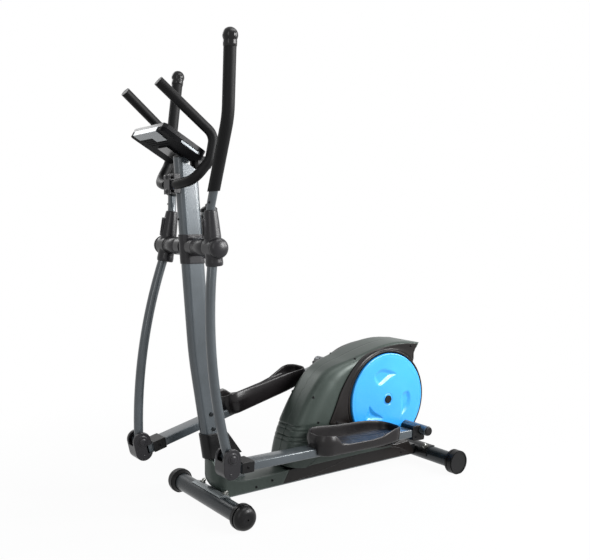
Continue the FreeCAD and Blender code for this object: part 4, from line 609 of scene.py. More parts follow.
# %% Dimples of the disc
DISC_R, DISC_OUT, DISC_IN = 176.5, 102.0, 88.0
DIMPLES = [
    [(-69.7, 83), (-63.7, 108), (-20.7, 121), (43, 95), (7, 78), (-42, 55)],
    [(70, 7), (104, 21), (119, -9), (105, -50), (65, -78), (68, -53)],
    [(-93, -13), (-69, -37), (-27, -64), (-30, -77), (-106, -69), (-103, -32)],
]
DIMPLE_DEPTH, DIMPLE_SLOPE = 6.5, 17.0
dimple_loops = [smooth_line(loop, 10, closed=True) for loop in DIMPLES]


def inside_by(loop, x, z):
    """Distance from a point to a loop, negative outside it."""
    nearest, odd = 1e9, False
    for a, b in zip(loop, loop[1:] + loop[:1]):
        ex, ez = b[0] - a[0], b[1] - a[1]
        t = max(0.0, min(1.0, ((x - a[0]) * ex + (z - a[1]) * ez) / (ex * ex + ez * ez)))
        nearest = min(nearest, math.hypot(x - a[0] - ex * t, z - a[1] - ez * t))
        if (a[1] > z) != (b[1] > z) and x < a[0] + ex * (z - a[1]) / ez:
            odd = not odd
    return nearest if odd else -nearest


def disc_face(x, z):
    """Height of the disc's face at a place."""
    depth = max(inside_by(loop, x, z) for loop in dimple_loops)
    return DISC_OUT - DIMPLE_DEPTH * ease(-1.5, DIMPLE_SLOPE, depth)


print("disc face sinks by up to", round(DISC_OUT - min(disc_face(x, 90) for x in range(-60, 40, 5)), 1), "mm")

# %% [markdown]
# The disc itself could be a dented plane, but then its rim would be a staircase. A polar grid keeps the rim
# round: every column climbs the rolled edge, crosses a shallow ring groove and runs in over the dimpled face
# to the hub. The right disc is the mirror of the left one, turned half a turn about the axle.

# %% Turning discs
DISC_COLUMNS, FACE_START, FACE_STEP, FACE_RINGS, HUB_RINGS = 240, 160, 2.2, 60, [26, 24, 22, 20, 10, 0]
FLAT_WITHIN, HUB_GROOVE = 30, 1.2
disc_columns = []
for i in range(DISC_COLUMNS):
    c, s = math.cos(2 * math.pi * i / DISC_COLUMNS), math.sin(2 * math.pi * i / DISC_COLUMNS)
    column = [(0.0, DISC_IN), (DISC_R - 1, DISC_IN), (DISC_R, DISC_IN + 1), (DISC_R, DISC_OUT - 4.5)]
    column += arc((DISC_R - 4, DISC_OUT - 4.5), 4, (20, 40, 60, 80))
    column += [(DISC_R - 6, DISC_OUT - 0.3), (DISC_R - 9, DISC_OUT - 1.1), (DISC_R - 12, DISC_OUT - 0.3)]
    for r in [FACE_START - FACE_STEP * k for k in range(FACE_RINGS)] + HUB_RINGS:
        hub = DISC_OUT - (HUB_GROOVE if 20 < r < 24 else 0)
        column.append((r, disc_face(r * c, r * s) if r > FLAT_WITHIN else hub))
    disc_columns.append([(r * c, -y, r * s) for r, y in column])
for word, side in SIDE.items():
    turned = [[(CRANK[0] - side * x, -side * y, CRANK[1] - side * z) for x, y, z in column]
              for column in disc_columns]
    points, faces = grid(turned, closed=True)
    disc = piece("disc_cover_" + word, points, faces, disc_plastic, 50.0)
    stand_for(disc, "crank", "disc_plastic", "disc_" + word)

# %% [markdown]
# The next pieces are round shapes that run into each other. They could be drawn at their rest angles at
# once, but then no size could be read off them. So each is drawn where its arm hangs straight down, or where
# its pedal lies level, and then turned to its rest angle about its own joint, as a fitter would hang it.

# %% Places on the arms and pedals
PIVOT = (-455.4, 902.8)
JOINTS = {"left": (-409.21, 226.78), "right": (-573.99, 235.66)}
PINS = {"left": (426.41, 190.75), "right": (242.99, 414.85)}
ARM_Y, COUPLER_LEN = 162.0, 836.4


def tilted(p, origin, angle):
    """A point turned about the Y axis by an angle, then moved to an origin (x, z)."""
    c, s = math.cos(angle), math.sin(angle)
    return origin[0] + p[0] * c + p[2] * s, p[1], origin[1] - p[0] * s + p[2] * c


def on_arm(word, p):
    """Point drawn on the right arm hanging straight down, put on its side at its rest angle."""
    joint = JOINTS[word]
    angle = -math.atan2(joint[0] - PIVOT[0], PIVOT[1] - joint[1])
    return tilted((p[0], SIDE[word] * p[1], p[2]), PIVOT, angle)


def on_pedal(word, p):
    """Point drawn on the right pedal arm lying level, put on its side at its rest angle."""
    joint, pin = JOINTS[word], PINS[word]
    angle = -math.atan2(pin[1] - joint[1], pin[0] - joint[0])
    return tilted((p[0], SIDE[word] * p[1], p[2]), joint, angle)


def lathe(start, axis, profile, segments=48):
    """Round shape about a line: profile holds (distance along, radius); its ends close on the axis."""
    along = Vector(axis).normalized()
    side = along.orthogonal().normalized()
    up = along.cross(side)
    columns = []
    for i in range(segments):
        a = 2 * math.pi * i / segments
        out = side * math.cos(a) + up * math.sin(a)
        columns.append([tuple(Vector(start) + along * s + out * r) for s, r in profile])
    return grid(columns, closed=True)


def block(low, high):
    """Box between two corners."""
    (x0, y0, z0), (x1, y1, z1) = low, high
    points = [(x, y, z) for x in (x0, x1) for y in (y0, y1) for z in (z0, z1)]
    return points, [(0, 1, 3, 2), (4, 6, 7, 5), (0, 4, 5, 1), (2, 3, 7, 6), (0, 2, 6, 4), (1, 5, 7, 3)]


for word in SIDE:
    print(word, "handle top hangs at", [round(v) for v in on_arm(word, (0, ARM_Y, 600))])

# %% [markdown]
# A moulded knuckle has fillets wherever two round shapes meet. Bevels fail on such seams, so the shapes are
# simply overlapped, fused by a voxel remesh and smoothed a few times. The same trick rounds the edges of a
# copy of a model node, with its true size kept.

# %% Fusing and softening
def remoulded(source, name, voxel_mm, rounds, material):
    """A new mesh piece: the source fused by a voxel remesh, then smoothed."""
    remesh = source.modifiers.new("fuse", "REMESH")
    remesh.mode, remesh.voxel_size = "VOXEL", voxel_mm * MM
    soften = source.modifiers.new("soften", "SMOOTH")
    soften.factor, soften.iterations = 0.5, rounds
    mesh = settled(source, name)
    mesh.materials.clear()
    mesh.materials.append(material)
    mesh.shade_smooth()
    return linked(name, mesh)


def fused(name, shapes, voxel_mm, rounds, material, place=lambda p: p):
    """Shapes that overlap, fused into one moulding."""
    points, faces = merged(shapes, place)
    return remoulded(piece(name + ".raw", points, faces, material), name, voxel_mm, rounds, material)


def softened(node, name, voxel_mm, rounds, material):
    """A moulded copy of a CAD node, with its edges rounded as a mould leaves them."""
    mesh = nodes[node].data.copy()
    work = bmesh.new()
    work.from_mesh(mesh)
    bmesh.ops.remove_doubles(work, verts=work.verts, dist=0.00001)
    work.to_mesh(mesh)
    work.free()
    return remoulded(linked(name + ".raw", mesh), name, voxel_mm, rounds, material)


def joined(name, parts):
    """Several mesh objects with one material made into one."""
    work = bmesh.new()
    for part in parts:
        work.from_mesh(part.data)
    mesh = bpy.data.meshes.new(name)
    work.to_mesh(mesh)
    work.free()
    mesh.materials.append(parts[0].data.materials[0])
    for part in parts:
        bpy.data.objects.remove(part)
    mesh.shade_smooth()
    mesh.set_sharp_from_angle(angle=math.radians(45))
    return linked(name, mesh)


print("two ways to mould: fused shapes and softened nodes")

# %% [markdown]
# Where an arm crosses the mast, a charcoal shroud hides the weld. Its upright swells over the socket, a rib
# runs down its front, a sleeve reaches to the mast and a domed cap closes the outer end. The upright and hub
# are fused; the sleeve and the cap are turned on a lathe, so the parting lines between them stay crisp.

# %% Arm shrouds
upright = lathe((0, ARM_Y, 0), (0, 0, 1), [
    (-57.5, 0), (-57.5, 25), (-55, 27.2), (-47, 28.4), (-36, 27.6), (0, 27.6), (36, 27.4), (80, 24.4),
    (114, 21.4), (118, 20.0), (118, 0)])
hub = lathe((0, 0, 0), (0, 1, 0), [(137, 0), (137, 30), (138.5, 31.4), (190, 31.4), (192, 30.4), (192, 0)])
rib = block((-31.5, ARM_Y - 8, 30), (-18, ARM_Y + 8, 92))
sleeve = lathe((0, 0, 0), (0, 1, 0), [
    (61.2, 0), (61.2, 29.4), (61.8, 30), (135, 30), (136.4, 28.8), (136.6, 28), (140, 28), (140, 0)])
cap = lathe((0, 0, 0), (0, 1, 0), [
    (189, 0), (189, 29), (192.6, 29), (192.8, 31), (194.5, 32.4), (198, 32.4), (203, 31), (208, 27.2),
    (211.5, 21.5), (213.8, 14), (214.8, 6), (215, 0)])
# A thin gloss black strip stands proud on the rib's front where its groove is. Its black is painted shade of
# the groove, not a cut.
groove = block((-33.2, ARM_Y - 2.2, 40), (-31.0, ARM_Y + 2.2, 84))
for word in SIDE:
    place = lambda p, word=word: on_arm(word, p)
    body = fused("shroud_body", [upright, hub, rib], 1.6, 5, charcoal, place)
    ends = piece("shroud_ends", *merged([sleeve, cap], place), charcoal, 42.0)
    shroud = joined("arm_shroud_" + word, [body, ends])
    stand_for(shroud, "swing_" + word, "charcoal_plastic", "arm_cover_" + word)
    # This black strip is painted shade, standing for the groove down the rib.
    groove_shade = piece("arm_rib_insert_" + word, *merged([groove], place), ball_plastic)
    stand_for(groove_shade, "swing_" + word, "gloss_black")

# %% [markdown]
# Each handle ends in a polished ball on a short collar that is pushed over the foam. A sphere laid on a
# cylinder would leave a seam, so both are one turned profile, set along the last straight of the handle.

# %% Handle knobs
HANDLE_END, HANDLE_BEND = (19.5, ARM_Y + 152, 612), (14, ARM_Y + 120, 392)
BALL_R, BALL_AT, BALL_TIP = 23.3, 7, 30.3
collar = [(-24, 0), (-24, 19.4), (-23, 20.6), (-15, 20.8), (-9, 20.9), (-6, 20.3)]
ball = [(BALL_AT - BALL_R * math.cos(math.radians(a)), BALL_R * math.sin(math.radians(a)))
        for a in range(64, 181, 8)]
for word in SIDE:
    end, bend = Vector(on_arm(word, HANDLE_END)), Vector(on_arm(word, HANDLE_BEND))
    knob = lathe(end, end - bend, collar + ball + [(BALL_TIP, 0)], 56)
    stand_for(piece("handle_knob_" + word, *knob, ball_plastic, 60.0), "swing_" + word, "gloss_black",
              "handle_ball_" + word)

# %% [markdown]
# The two pedal arms are rolled steel tubes with rounded corners. A bevelled box would do for one tube, but
# the front narrows between the ears, so a grid along the tube gives every corner its real radius. The ears of
# the lower joint and the sleeve of the crank pin are plain turned or cut steel, welded on.

# %% Pedal tubes
TUBE_FRONT, TUBE_DROP_FRONT, TUBE_DROP_REAR = 34.0, -34.5, -10.0
TUBE_W, TUBE_H, TUBE_ROUND = 60.0, 30.0, 4.5


def tube_line(x):
    """Height of the pedal tube's middle line."""
    share = (x - TUBE_FRONT) / (COUPLER_LEN - TUBE_FRONT)
    return TUBE_DROP_FRONT + (TUBE_DROP_REAR - TUBE_DROP_FRONT) * share


def tube_ring(x, w, h, r):
    """Rounded rectangle round the tube's middle line."""
    z = tube_line(x)
    return [(x, *p) for p in round_box(ARM_Y - w / 2, ARM_Y + w / 2, z - h / 2, z + h / 2, r)]


def tube_shape(stations):
    """Closed rounded bar through stations of (x, width, height, corner radius)."""
    rings = [tube_ring(*station) for station in stations]
    front, rear = [[(x, ARM_Y, tube_line(x))] * len(rings[0]) for x in (stations[0][0], stations[-1][0])]
    return grid([list(column) for column in zip(front, *rings, rear)], closed=True)


def ear(y0, y1):
    """Two round discs between two widths, one at the joint's pin and one at the tube's front."""
    shape = []
    for x, z, r in ((0, 0, 15), (TUBE_FRONT + 4, TUBE_DROP_FRONT, 11)):
        shape.append(lathe((x, 0, z), (0, 1, 0), [(y0, 0), (y0, r), (y1, r), (y1, 0)], 32))
    return shape


NECK_W, NECK_H, NECK_ROUND = 52, 40, 6
main_tube = tube_shape([(x, NECK_W, NECK_H, NECK_ROUND) for x in (18, TUBE_FRONT - 2)]
                       + [(x, TUBE_W, TUBE_H, TUBE_ROUND) for x in (TUBE_FRONT, 300, 600, COUPLER_LEN)])
pin_sleeve = lathe((COUPLER_LEN, 0, 0), (0, 1, 0), [
    (102.6, 0), (102.6, 17.5), (103.6, 18.5), (224, 18.5), (225, 17.5), (225, 0)])
for word in SIDE:
    place = lambda p, word=word: on_pedal(word, p)
    shapes = [main_tube, pin_sleeve] + ear(138, 144) + ear(180, 186)
    stand_for(piece("pedal_arm_" + word, *merged(shapes, place), mast_paint, 30.0), "pedal_" + word,
              "frame_paint", "pedal_tube_" + word)

# %% [markdown]
# The foot tray is one deep moulding: a round toe hood, a high inner side, an open outer side and a treaded
# floor. A box with a bevelled hollow has one wall height; here the height changes all the way round. So the
# plan comes first, a rounded rectangle with points evenly spaced, and a height for each place on it.

# %% Plan of the foot tray
TRAY_X0, TRAY_X1, TRAY_Y0, TRAY_Y1 = 334.0, 712.0, 110.0, 232.0
TRAY_TOE_R, TRAY_HEEL_R, TRAY_FLOOR = 50.0, 46.0, 4.0
INNER_WALL = [(0, 50), (20, 54), (60, 54), (150, 47), (250, 44), (300, 41), (345, 35), (378, 30)]
OUTER_WALL = [(0, 46), (30, 48), (56, 46), (70, 34), (84, 17), (110, 10), (220, 8), (262, 11), (300, 22),
              (330, 31), (356, 33), (378, 30)]
PLAN_POINTS = 220


def tray_plan(count):
    """Points of the tray's plan with their outward directions."""
    path = []
    for x, y, r, a0 in ((TRAY_X0, TRAY_Y0, TRAY_TOE_R, 180), (TRAY_X1, TRAY_Y0, TRAY_HEEL_R, 270),
                        (TRAY_X1, TRAY_Y1, TRAY_HEEL_R, 0), (TRAY_X0, TRAY_Y1, TRAY_TOE_R, 90)):
        centre = (x + r if x == TRAY_X0 else x - r, y + r if y == TRAY_Y0 else y - r)
        path += arc(centre, r, range(a0, a0 + 91, 5))
    path.append(path[0])
    lengths = [0.0]
    for a, b in zip(path, path[1:]):
        lengths.append(lengths[-1] + math.dist(a, b))
    plan = []
    for i in range(count):
        want = lengths[-1] * i / count
        k = max(j for j in range(len(path) - 1) if lengths[j] <= want)
        t = (want - lengths[k]) / max(1e-9, lengths[k + 1] - lengths[k])
        a, b = path[k], path[k + 1]
        p = (a[0] + (b[0] - a[0]) * t, a[1] + (b[1] - a[1]) * t)
        size = max(1e-9, math.dist(a, b))
        plan.append((p, ((b[1] - a[1]) / size, (a[0] - b[0]) / size)))
    return plan


def wall_height(x, y):
    """Height of the tray's rim at a place on its plan."""
    share = ease(TRAY_Y0 + 14, TRAY_Y1 - 14, y)
    u = x - TRAY_X0
    return table(INNER_WALL, u) * (1 - share) + table(OUTER_WALL, u) * share


tray_plan_points = tray_plan(PLAN_POINTS)
print("tray plan has", len(tray_plan_points), "places, walls up to",
      round(max(wall_height(*p) for p, _ in tray_plan_points)), "mm")

# %% [markdown]
# Every column of the tray's grid climbs the outside, rolls over the rim, drops to the floor and runs in to
# the middle over five treads, then comes back below to its start. One closed loop per column makes a wall
# with an inside and an outside; a thickened sheet could not give it the rolled rim.

# %% Foot trays
TREADS, TREAD_DEPTH, FLOOR_ROWS, MIDDLE_SHARE, UNDERSIDE = 5, 1.6, 44, 0.6468, 0.3
MIDDLE = ((TRAY_X0 + TRAY_X1) / 2, (TRAY_Y0 + TRAY_Y1) / 2)


def tread(t):
    """Height of the ripple at a share of the way from the wall to the middle."""
    ripple = TREAD_DEPTH * (0.5 + 0.5 * math.cos(2 * math.pi * t * TREADS))
    return ripple * (1 - ease(0.9, 1.0, t)) * ease(0, 0.05, t)


def tray_column(p, out):
    """One column of the tray, from its skirt over the rim to the middle of its floor and back below."""
    h = wall_height(*p)
    u = p[0] - TRAY_X0
    bulge = 5.0 * (1 - ease(30, 130, u)) + 1.5
    skirt = 24.0 - 6 * ease(250, 378, u)
    profile = [(-9, -skirt + 1), (-6, -skirt), (-3.4, -skirt + 1.5), (-1.5, -skirt * 0.6),
               (bulge * 0.3 - 0.5, -skirt * 0.2)]
    profile += [(bulge * math.sin(math.pi * t) - 0.6 * t, h * t * 0.94)
                for t in (0.15, 0.35, 0.55, 0.75, 0.9)]
    profile += [(-0.6, h - 2.2), (-1.2, h - 0.8), (-2.6, h), (-4.2, h - 0.5), (-5.2, h - 2.0)]
    profile += [(-6.0 - 2.4 * (1 - t), TRAY_FLOOR + 3 + (h - 5 - TRAY_FLOOR) * t)
                for t in (0.8, 0.6, 0.4, 0.2)]
    profile += [(-9.5, TRAY_FLOOR + 1.2), (-12.5, TRAY_FLOOR + 0.2)]
    column = [(p[0] + out[0] * d, p[1] + out[1] * d, z) for d, z in profile]
    middle = (MIDDLE[0] + MIDDLE_SHARE * (p[0] - MIDDLE[0]), MIDDLE[1])
    edge = column[-1]
    for k in range(1, FLOOR_ROWS + 1):
        t = k / FLOOR_ROWS
        column.append((edge[0] + (middle[0] - edge[0]) * t, edge[1] + (middle[1] - edge[1]) * t,
                       TRAY_FLOOR + tread(t)))
    column.append((*middle, UNDERSIDE))
    below = ((-14, UNDERSIDE), (-10.5, -1.5), (-9.5, -skirt + 4))
    return column + [(p[0] + out[0] * d, p[1] + out[1] * d, z) for d, z in below] + [column[0]]


def on_tube(p):
    """Point drawn on a level tray, laid on the sloping tube."""
    slope = math.atan2(tube_line(TRAY_X1) - tube_line(TRAY_X0), TRAY_X1 - TRAY_X0)
    return tilted((p[0] - TRAY_X0, p[1], p[2]), (TRAY_X0, tube_line(TRAY_X0) + TUBE_H / 2), -slope)


tray = grid([tray_column(p, out) for p, out in tray_plan_points], closed=True)
for word in SIDE:
    shape = merged([tray], lambda p, word=word: on_pedal(word, on_tube(p)))
    stand_for(piece("tray_" + word, *shape, tray_plastic, 55.0), "pedal_" + word, "tray_plastic",
              "foot_tray_" + word)

# %% [markdown]
# The joint shells, collars, end blocks, boot, clamp and pivot collar already have their true shapes in the
# frame model, but with cut edges. Drawing them again would risk their sizes, so a voxel remesh of each,
# smoothed a few times, rounds every edge and inner corner by about two millimetres, as a mould does. Small
# turned bosses go on afterwards.

# %% Softened mouldings
PIN_BOSS = [(-2, 0), (-2, 17.5), (2.6, 17.5), (3.6, 16.6), (3.6, 12.6), (5.4, 12.2), (7.4, 9.5), (8.2, 5),
            (8.4, 0)]
RIVET_BOSS = [(-3, 0), (-3, 5), (0.8, 5), (1.4, 4.2), (1.4, 0)]
for word in SIDE:
    place = lambda p, word=word: on_pedal(word, p)
    shell = softened("joint_cover_" + word, "joint_shell_body", 1.5, 7, charcoal)
    bosses = []
    for y, out in ((193.0, 1), (131.0, -1)):
        bosses.append(lathe((0, y, 0), (0, out, 0), PIN_BOSS))
        bosses.append(lathe((-6, y, -52), (0, out, 0), RIVET_BOSS, 24))
    boss = piece("joint_bosses", *merged(bosses, place), charcoal, 35.0)
    stand_for(joined("joint_shell_" + word, [shell, boss]), "pedal_" + word, "charcoal_plastic",
              "joint_cover_" + word)
    covers = softened("pedal_covers_" + word, "pedal_fittings_" + word, 1.5, 5, cap_plastic)
    stand_for(covers, "pedal_" + word, "cap_plastic", "pedal_covers_" + word)
for node, name, finish, slot_name, size, rounds in (
        ("mast_boot", "boot", cap_plastic, "cap_plastic", 1.6, 6),
        ("pivot_collar", "mast_collar", charcoal, "charcoal_plastic", 1.5, 5),
        ("bar_clamp", "handlebar_clamp", charcoal, "charcoal_plastic", 1.0, 4)):
    stand_for(softened(node, name, size, rounds, finish), "frame", slot_name, node)

# %% [markdown]
# Between the mast's collar and each arm's sleeve a short boss covers the axle. It stands still while the
# sleeve turns, and the thin gap between them is the seam one sees. The collar could be drawn longer, but the
# boss is round and the collar is not, so it is a turned piece of its own.

# %% Pivot bosses
BOSS_PROFILE = [(24, 0), (24, 30.2), (59.8, 30.2), (60.4, 29.6), (60.4, 0)]
bosses = [lathe((PIVOT[0], 0, PIVOT[1]), (0, side, 0), BOSS_PROFILE, 64) for side in SIDE.values()]
stand_for(piece("pivot_bosses", *merged(bosses), charcoal, 30.0), "frame", "charcoal_plastic")

# %% [markdown]
# The front cowl is a shallow bowl with a round prow. Its lip stands high round the foot of the mast, falls
# along both sides and ends level at the slanted seam with the rail cover. A lofted solid can't change its lip
# so freely, so it is one grid: each column climbs the wall at one place of the plan, turns over the lip and
# crosses the dished top to the middle.

# %% Front cowl
COWL_BASE, COWL_HALF, PROW_X, PROW_START, PROW_SHARE = 48.0, 50.0, -396.0, -346.0, 0.3
SEAM_LOW_X, SEAM_HIGH_X, SEAM_HIGH_Z = -117.5, -88.5, 96.0
FLARE, FLARE_TOP, DISH_Z, CROWN, LIP_DROP = 0.92, 112.0, 92.0, 6.0, 0.8
WALL_ROWS, TOP_ROWS, HALF_COLUMNS = 9, 8, 40
LIP = [(-396, 178), (-390, 170), (-386, 158), (-378, 141), (-368, 129), (-346, 113), (-315, 99), (-277, 91),
       (-192, 89.5), (-88, 95.5)]
lip_line = smooth_line(LIP, 6)


def cowl_column(share, side):
    """Column of the cowl at a share of the way from the prow's tip (0) to the seam (1)."""
    turn = min(1.0, share / PROW_SHARE) * math.pi / 2
    along = max(0.0, (share - PROW_SHARE) / (1 - PROW_SHARE))
    x = PROW_START - (PROW_START - PROW_X) * math.cos(turn)
    y = COWL_HALF * math.sin(turn) ** 0.65
    top = table(lip_line, x + along * (SEAM_HIGH_X - PROW_START))
    column = [(PROW_START + along * (SEAM_LOW_X - PROW_START), 0.0, COWL_BASE)]
    wall = [(COWL_BASE + (top - 3.0 - COWL_BASE) * k / WALL_ROWS, 0.0) for k in range(WALL_ROWS + 1)]
    for z, tuck in wall + [(top - 1.2, 0.6), (top, 2.6), (top - LIP_DROP, 5.0)]:
        lean = 1.0 - FLARE * max(0.0, (FLARE_TOP - z) / (FLARE_TOP - COWL_BASE)) ** 1.5
        seam_x = SEAM_LOW_X + (SEAM_HIGH_X - SEAM_LOW_X) * (z - COWL_BASE) / (SEAM_HIGH_Z - COWL_BASE)
        px = PROW_START - (PROW_START - x) * lean + along * (seam_x - PROW_START)
        column.append((px + tuck * math.cos(turn), y * (1.0 - tuck / COWL_HALF), z))
    rim_x, rim_y, _ = column[-1]
    mid_x = max(rim_x, PROW_START + 6.0)
    for k in range(1, TOP_ROWS + 1):
        t = k / TOP_ROWS
        sunk = (top - DISH_Z) * ease(0.0, 1.0, t) * (1 - along) ** 2 * ease(DISH_Z, DISH_Z + 8, top)
        z = top - LIP_DROP + CROWN * along * (1 - (1 - t) ** 2) - sunk
        column.append((rim_x + (mid_x - rim_x) * t, rim_y * (1 - t), z))
    return [(px, side * py, pz) for px, py, pz in column]


shares = [k / HALF_COLUMNS for k in range(HALF_COLUMNS + 1)]
cowl_columns = [cowl_column(s, -1) for s in reversed(shares)] + [cowl_column(s, 1) for s in shares[1:]]
front_cowl = piece("front_cowl_shell", *grid(cowl_columns, closed=False), house_paint, 40.0)
work = bmesh.new()
work.from_mesh(front_cowl.data)
bmesh.ops.holes_fill(work, edges=[edge for edge in work.edges if edge.is_boundary], sides=0)
bmesh.ops.recalc_face_normals(work, faces=work.faces)
work.to_mesh(front_cowl.data)
work.free()
stand_for(front_cowl, "frame", "house_plastic", "front_cowl")

# %% [markdown]
# Screws, and later a long bead, repeat or follow a route. They could be copied by hand or by a Python loop,
# but a Geometry Nodes tree with named inputs can be tried out with other sizes in the editor. Each tree ends
# by making its instances real and giving them their finish, and its result is kept as a plain mesh.

# %% Node trees for repeated parts
def start_tree(name, sockets):
    """An empty geometry tree with named inputs: the tree, its input node and the inputs' identifiers."""
    tree = bpy.data.node_groups.new(name, "GeometryNodeTree")
    tree.interface.new_socket("Geometry", in_out="INPUT", socket_type="NodeSocketGeometry")
    tree.interface.new_socket("Geometry", in_out="OUTPUT", socket_type="NodeSocketGeometry")
    names = {label: tree.interface.new_socket(label, in_out="INPUT", socket_type=kind).identifier
             for label, kind in sockets}
    return tree, add(tree, "NodeGroupInput"), names


def end_tree(tree, shape, finish):
    """Realizes the instances, sets the material and ends the tree."""
    real = add(tree, "GeometryNodeRealizeInstances", {"Geometry": shape})
    coloured = add(tree, "GeometryNodeSetMaterial", {"Geometry": real.outputs[0], "Material": finish})
    add(tree, "NodeGroupOutput", {"Geometry": coloured.outputs[0]})


def grown(seed, tree, names, values, name, sharp_deg=40.0):
    """Runs a tree on a seed object and keeps the result as a plain mesh piece."""
    grow = seed.modifiers.new("grow", "NODES")
    grow.node_group = tree
    for label, value in values.items():
        grow[names[label]] = value
    return linked(name, finish_mesh(settled(seed, name), sharp_deg))


print("trees end in Realize Instances and Set Material")

# %% [markdown]
# A cross-head screw is a low dome with a cross cut in it. A cylinder with a picture of a slot would look
# printed on, so one small head is a grid of rings whose points sink inside the cross. It is drawn one unit
# wide and scaled by the tree. Each vertex of a seed mesh gets one head, turned to the surface by the normal
# stored on the vertex and spun by a fixed random angle, because no fitter leaves every slot in line.

# %% Screw heads
HEAD_COLUMNS, SLOT_HALF, SLOT_END, SLOT_DEPTH, DOME, DOME_FALL = 32, 0.07, 0.3, 0.16, 0.34, 0.2
head_columns = []
for i in range(HEAD_COLUMNS):
    c, s = math.cos(2 * math.pi * i / HEAD_COLUMNS), math.sin(2 * math.pi * i / HEAD_COLUMNS)
    column = [(0.0, -0.3), (0.5, -0.3), (0.5, 0.06), (0.49, 0.14), (0.45, 0.22), (0.38, 0.28)]
    for r in (0.33, 0.29, 0.26, 0.2, 0.15, 0.11, 0.07, 0.0):
        in_slot = min(abs(r * c), abs(r * s)) < SLOT_HALF and r < SLOT_END
        column.append((r, (DOME - DOME_FALL * r * r) - (SLOT_DEPTH if in_slot else 0.0)))
    head_columns.append([(r * c / MM, r * s / MM, z / MM) for r, z in column])
head = piece("screw_head_pattern", *grid(head_columns, closed=True), black_steel, 30.0)
screws, source, screw_inputs = start_tree("screws", [
    ("Head width", "NodeSocketFloat"), ("Turn seed", "NodeSocketInt"), ("Head", "NodeSocketObject"),
    ("Finish", "NodeSocketMaterial")])
facing = add(screws, "GeometryNodeInputNamedAttribute", {"Name": "facing"}, data_type="FLOAT_VECTOR")
aimed = add(screws, "FunctionNodeAlignRotationToVector", {"Vector": facing.outputs[0]}, axis="Z")
spin = add(screws, "FunctionNodeRandomValue", {"Seed": source.outputs["Turn seed"]}, data_type="FLOAT")
angle = add(screws, "ShaderNodeMath", {0: spin.outputs[1], 1: math.pi / 2}, operation="MULTIPLY")
about = add(screws, "FunctionNodeAxisAngleToRotation", {"Axis": (0, 0, 1), "Angle": angle.outputs[0]})
turned_by = add(screws, "FunctionNodeRotateRotation", {
    "Rotation": aimed.outputs[0], "Rotate By": about.outputs[0]}, rotation_space="LOCAL")
pattern = add(screws, "GeometryNodeObjectInfo", {"Object": source.outputs["Head"]})
spread = add(screws, "GeometryNodeInstanceOnPoints", {
    "Points": source.outputs["Geometry"], "Instance": pattern.outputs["Geometry"],
    "Rotation": turned_by.outputs[0], "Scale": source.outputs["Head width"]})
end_tree(screws, spread.outputs[0], source.outputs["Finish"])
print("screw tree has", len(screws.nodes), "nodes, the head", len(head.data.polygons), "faces")

# %% [markdown]
# A screw's place could be typed in, but the covers are curved and smoothed, so a typed height would leave
# heads floating or sunk. Instead a ray is cast at the finished cover from outside, and the head sits where it
# lands, facing along the surface's normal.

# %% Seats for the screws
def seat(targets, start_mm, aim):
    """Where a ray from a place along a direction first meets the targets, with the surface's normal."""
    best = None
    graph = bpy.context.evaluated_depsgraph_get()
    for target in targets:
        hit = BVHTree.FromObject(target, graph).ray_cast(Vector(start_mm) * MM, Vector(aim).normalized())
        if hit[0] is not None and (best is None or hit[3] < best[2]):
            best = (hit[0], hit[1], hit[3])
    return best[0], best[1]


def seat_from(target, place, start, aim):
    """A seat found from a place and a direction drawn on a hanging arm or a level pedal."""
    a, b = Vector(place(start)), Vector(place([p + d for p, d in zip(start, aim)]))
    return seat([target], a, b - a)


def set_screws(name, seats, width_mm, seed_number):
    """One mesh of screw heads on their seats."""
    mesh = bpy.data.meshes.new(name)
    mesh.from_pydata([place for place, _ in seats], [], [])
    facing_data = mesh.attributes.new("facing", "FLOAT_VECTOR", "POINT")
    for i, (_, normal) in enumerate(seats):
        facing_data.data[i].vector = normal
    values = {"Head width": width_mm * MM, "Turn seed": seed_number, "Head": head, "Finish": black_steel}
    return grown(linked(name + ".seed", mesh), screws, screw_inputs, values, name)


objects = bpy.data.objects
mast_seat = seat([nodes["mast"]], (-620, 0, 992), (1, 0, 0))
print("the mast's screw sits at", [round(v, 3) for v in mast_seat[0]])

# %% [markdown]
# The covers take sixteen screws in mirrored pairs, the mast one, each pedal three and each handle one. They
# are one mesh for each body, because a screw has to move with the part that it holds.

# %% Screws of the covers, arms and pedals
COVER_SCREWS = [(5.2, 347.2), (192.5, 470.3), (10.8, 259.6), (93, 247.5), (460, 496), (-164, 70), (-231, 59),
                (453, 62)]
PEDAL_SCREWS = [((58, 240, -34), (0, -1, 0)), ((58, 100, -34), (0, 1, 0)),
                ((COUPLER_LEN - 34, 240, -24), (0, -1, 0))]
HANDLE_SCREW = ((-60, ARM_Y + 60, 142), (1, -0.9, 0))
COVER_HEAD, MAST_HEAD, PEDAL_HEAD, HANDLE_HEAD = 9.0, 8.0, 9.0, 7.0
covers = [objects["drive_housing"], objects["crescent_trim_left"], objects["crescent_trim_right"],
          objects["front_cowl_shell"], nodes["rail_cover"]]
seats = [seat(covers, (x, side * 150, z), (0, -side, 0)) for x, z in COVER_SCREWS for side in SIDE.values()]
stand_for(set_screws("cover_screw_heads", seats, COVER_HEAD, 3), "frame", "bare_steel", "cover_screws")
stand_for(set_screws("mast_screw_head", [mast_seat], MAST_HEAD, 5), "frame", "bare_steel")
for word in SIDE:
    fittings = objects["pedal_fittings_" + word]
    seats = [seat_from(fittings, lambda p, word=word: on_pedal(word, p), *screw) for screw in PEDAL_SCREWS]
    stand_for(set_screws("pedal_screw_heads_" + word, seats, PEDAL_HEAD, 7), "pedal_" + word, "bare_steel")
    handle = nodes["handle_tube_" + word]
    seats = [seat_from(handle, lambda p, word=word: on_arm(word, p), *HANDLE_SCREW)]
    stand_for(set_screws("handle_screw_head_" + word, seats, HANDLE_HEAD, 9), "swing_" + word, "bare_steel")
objects.remove(head)

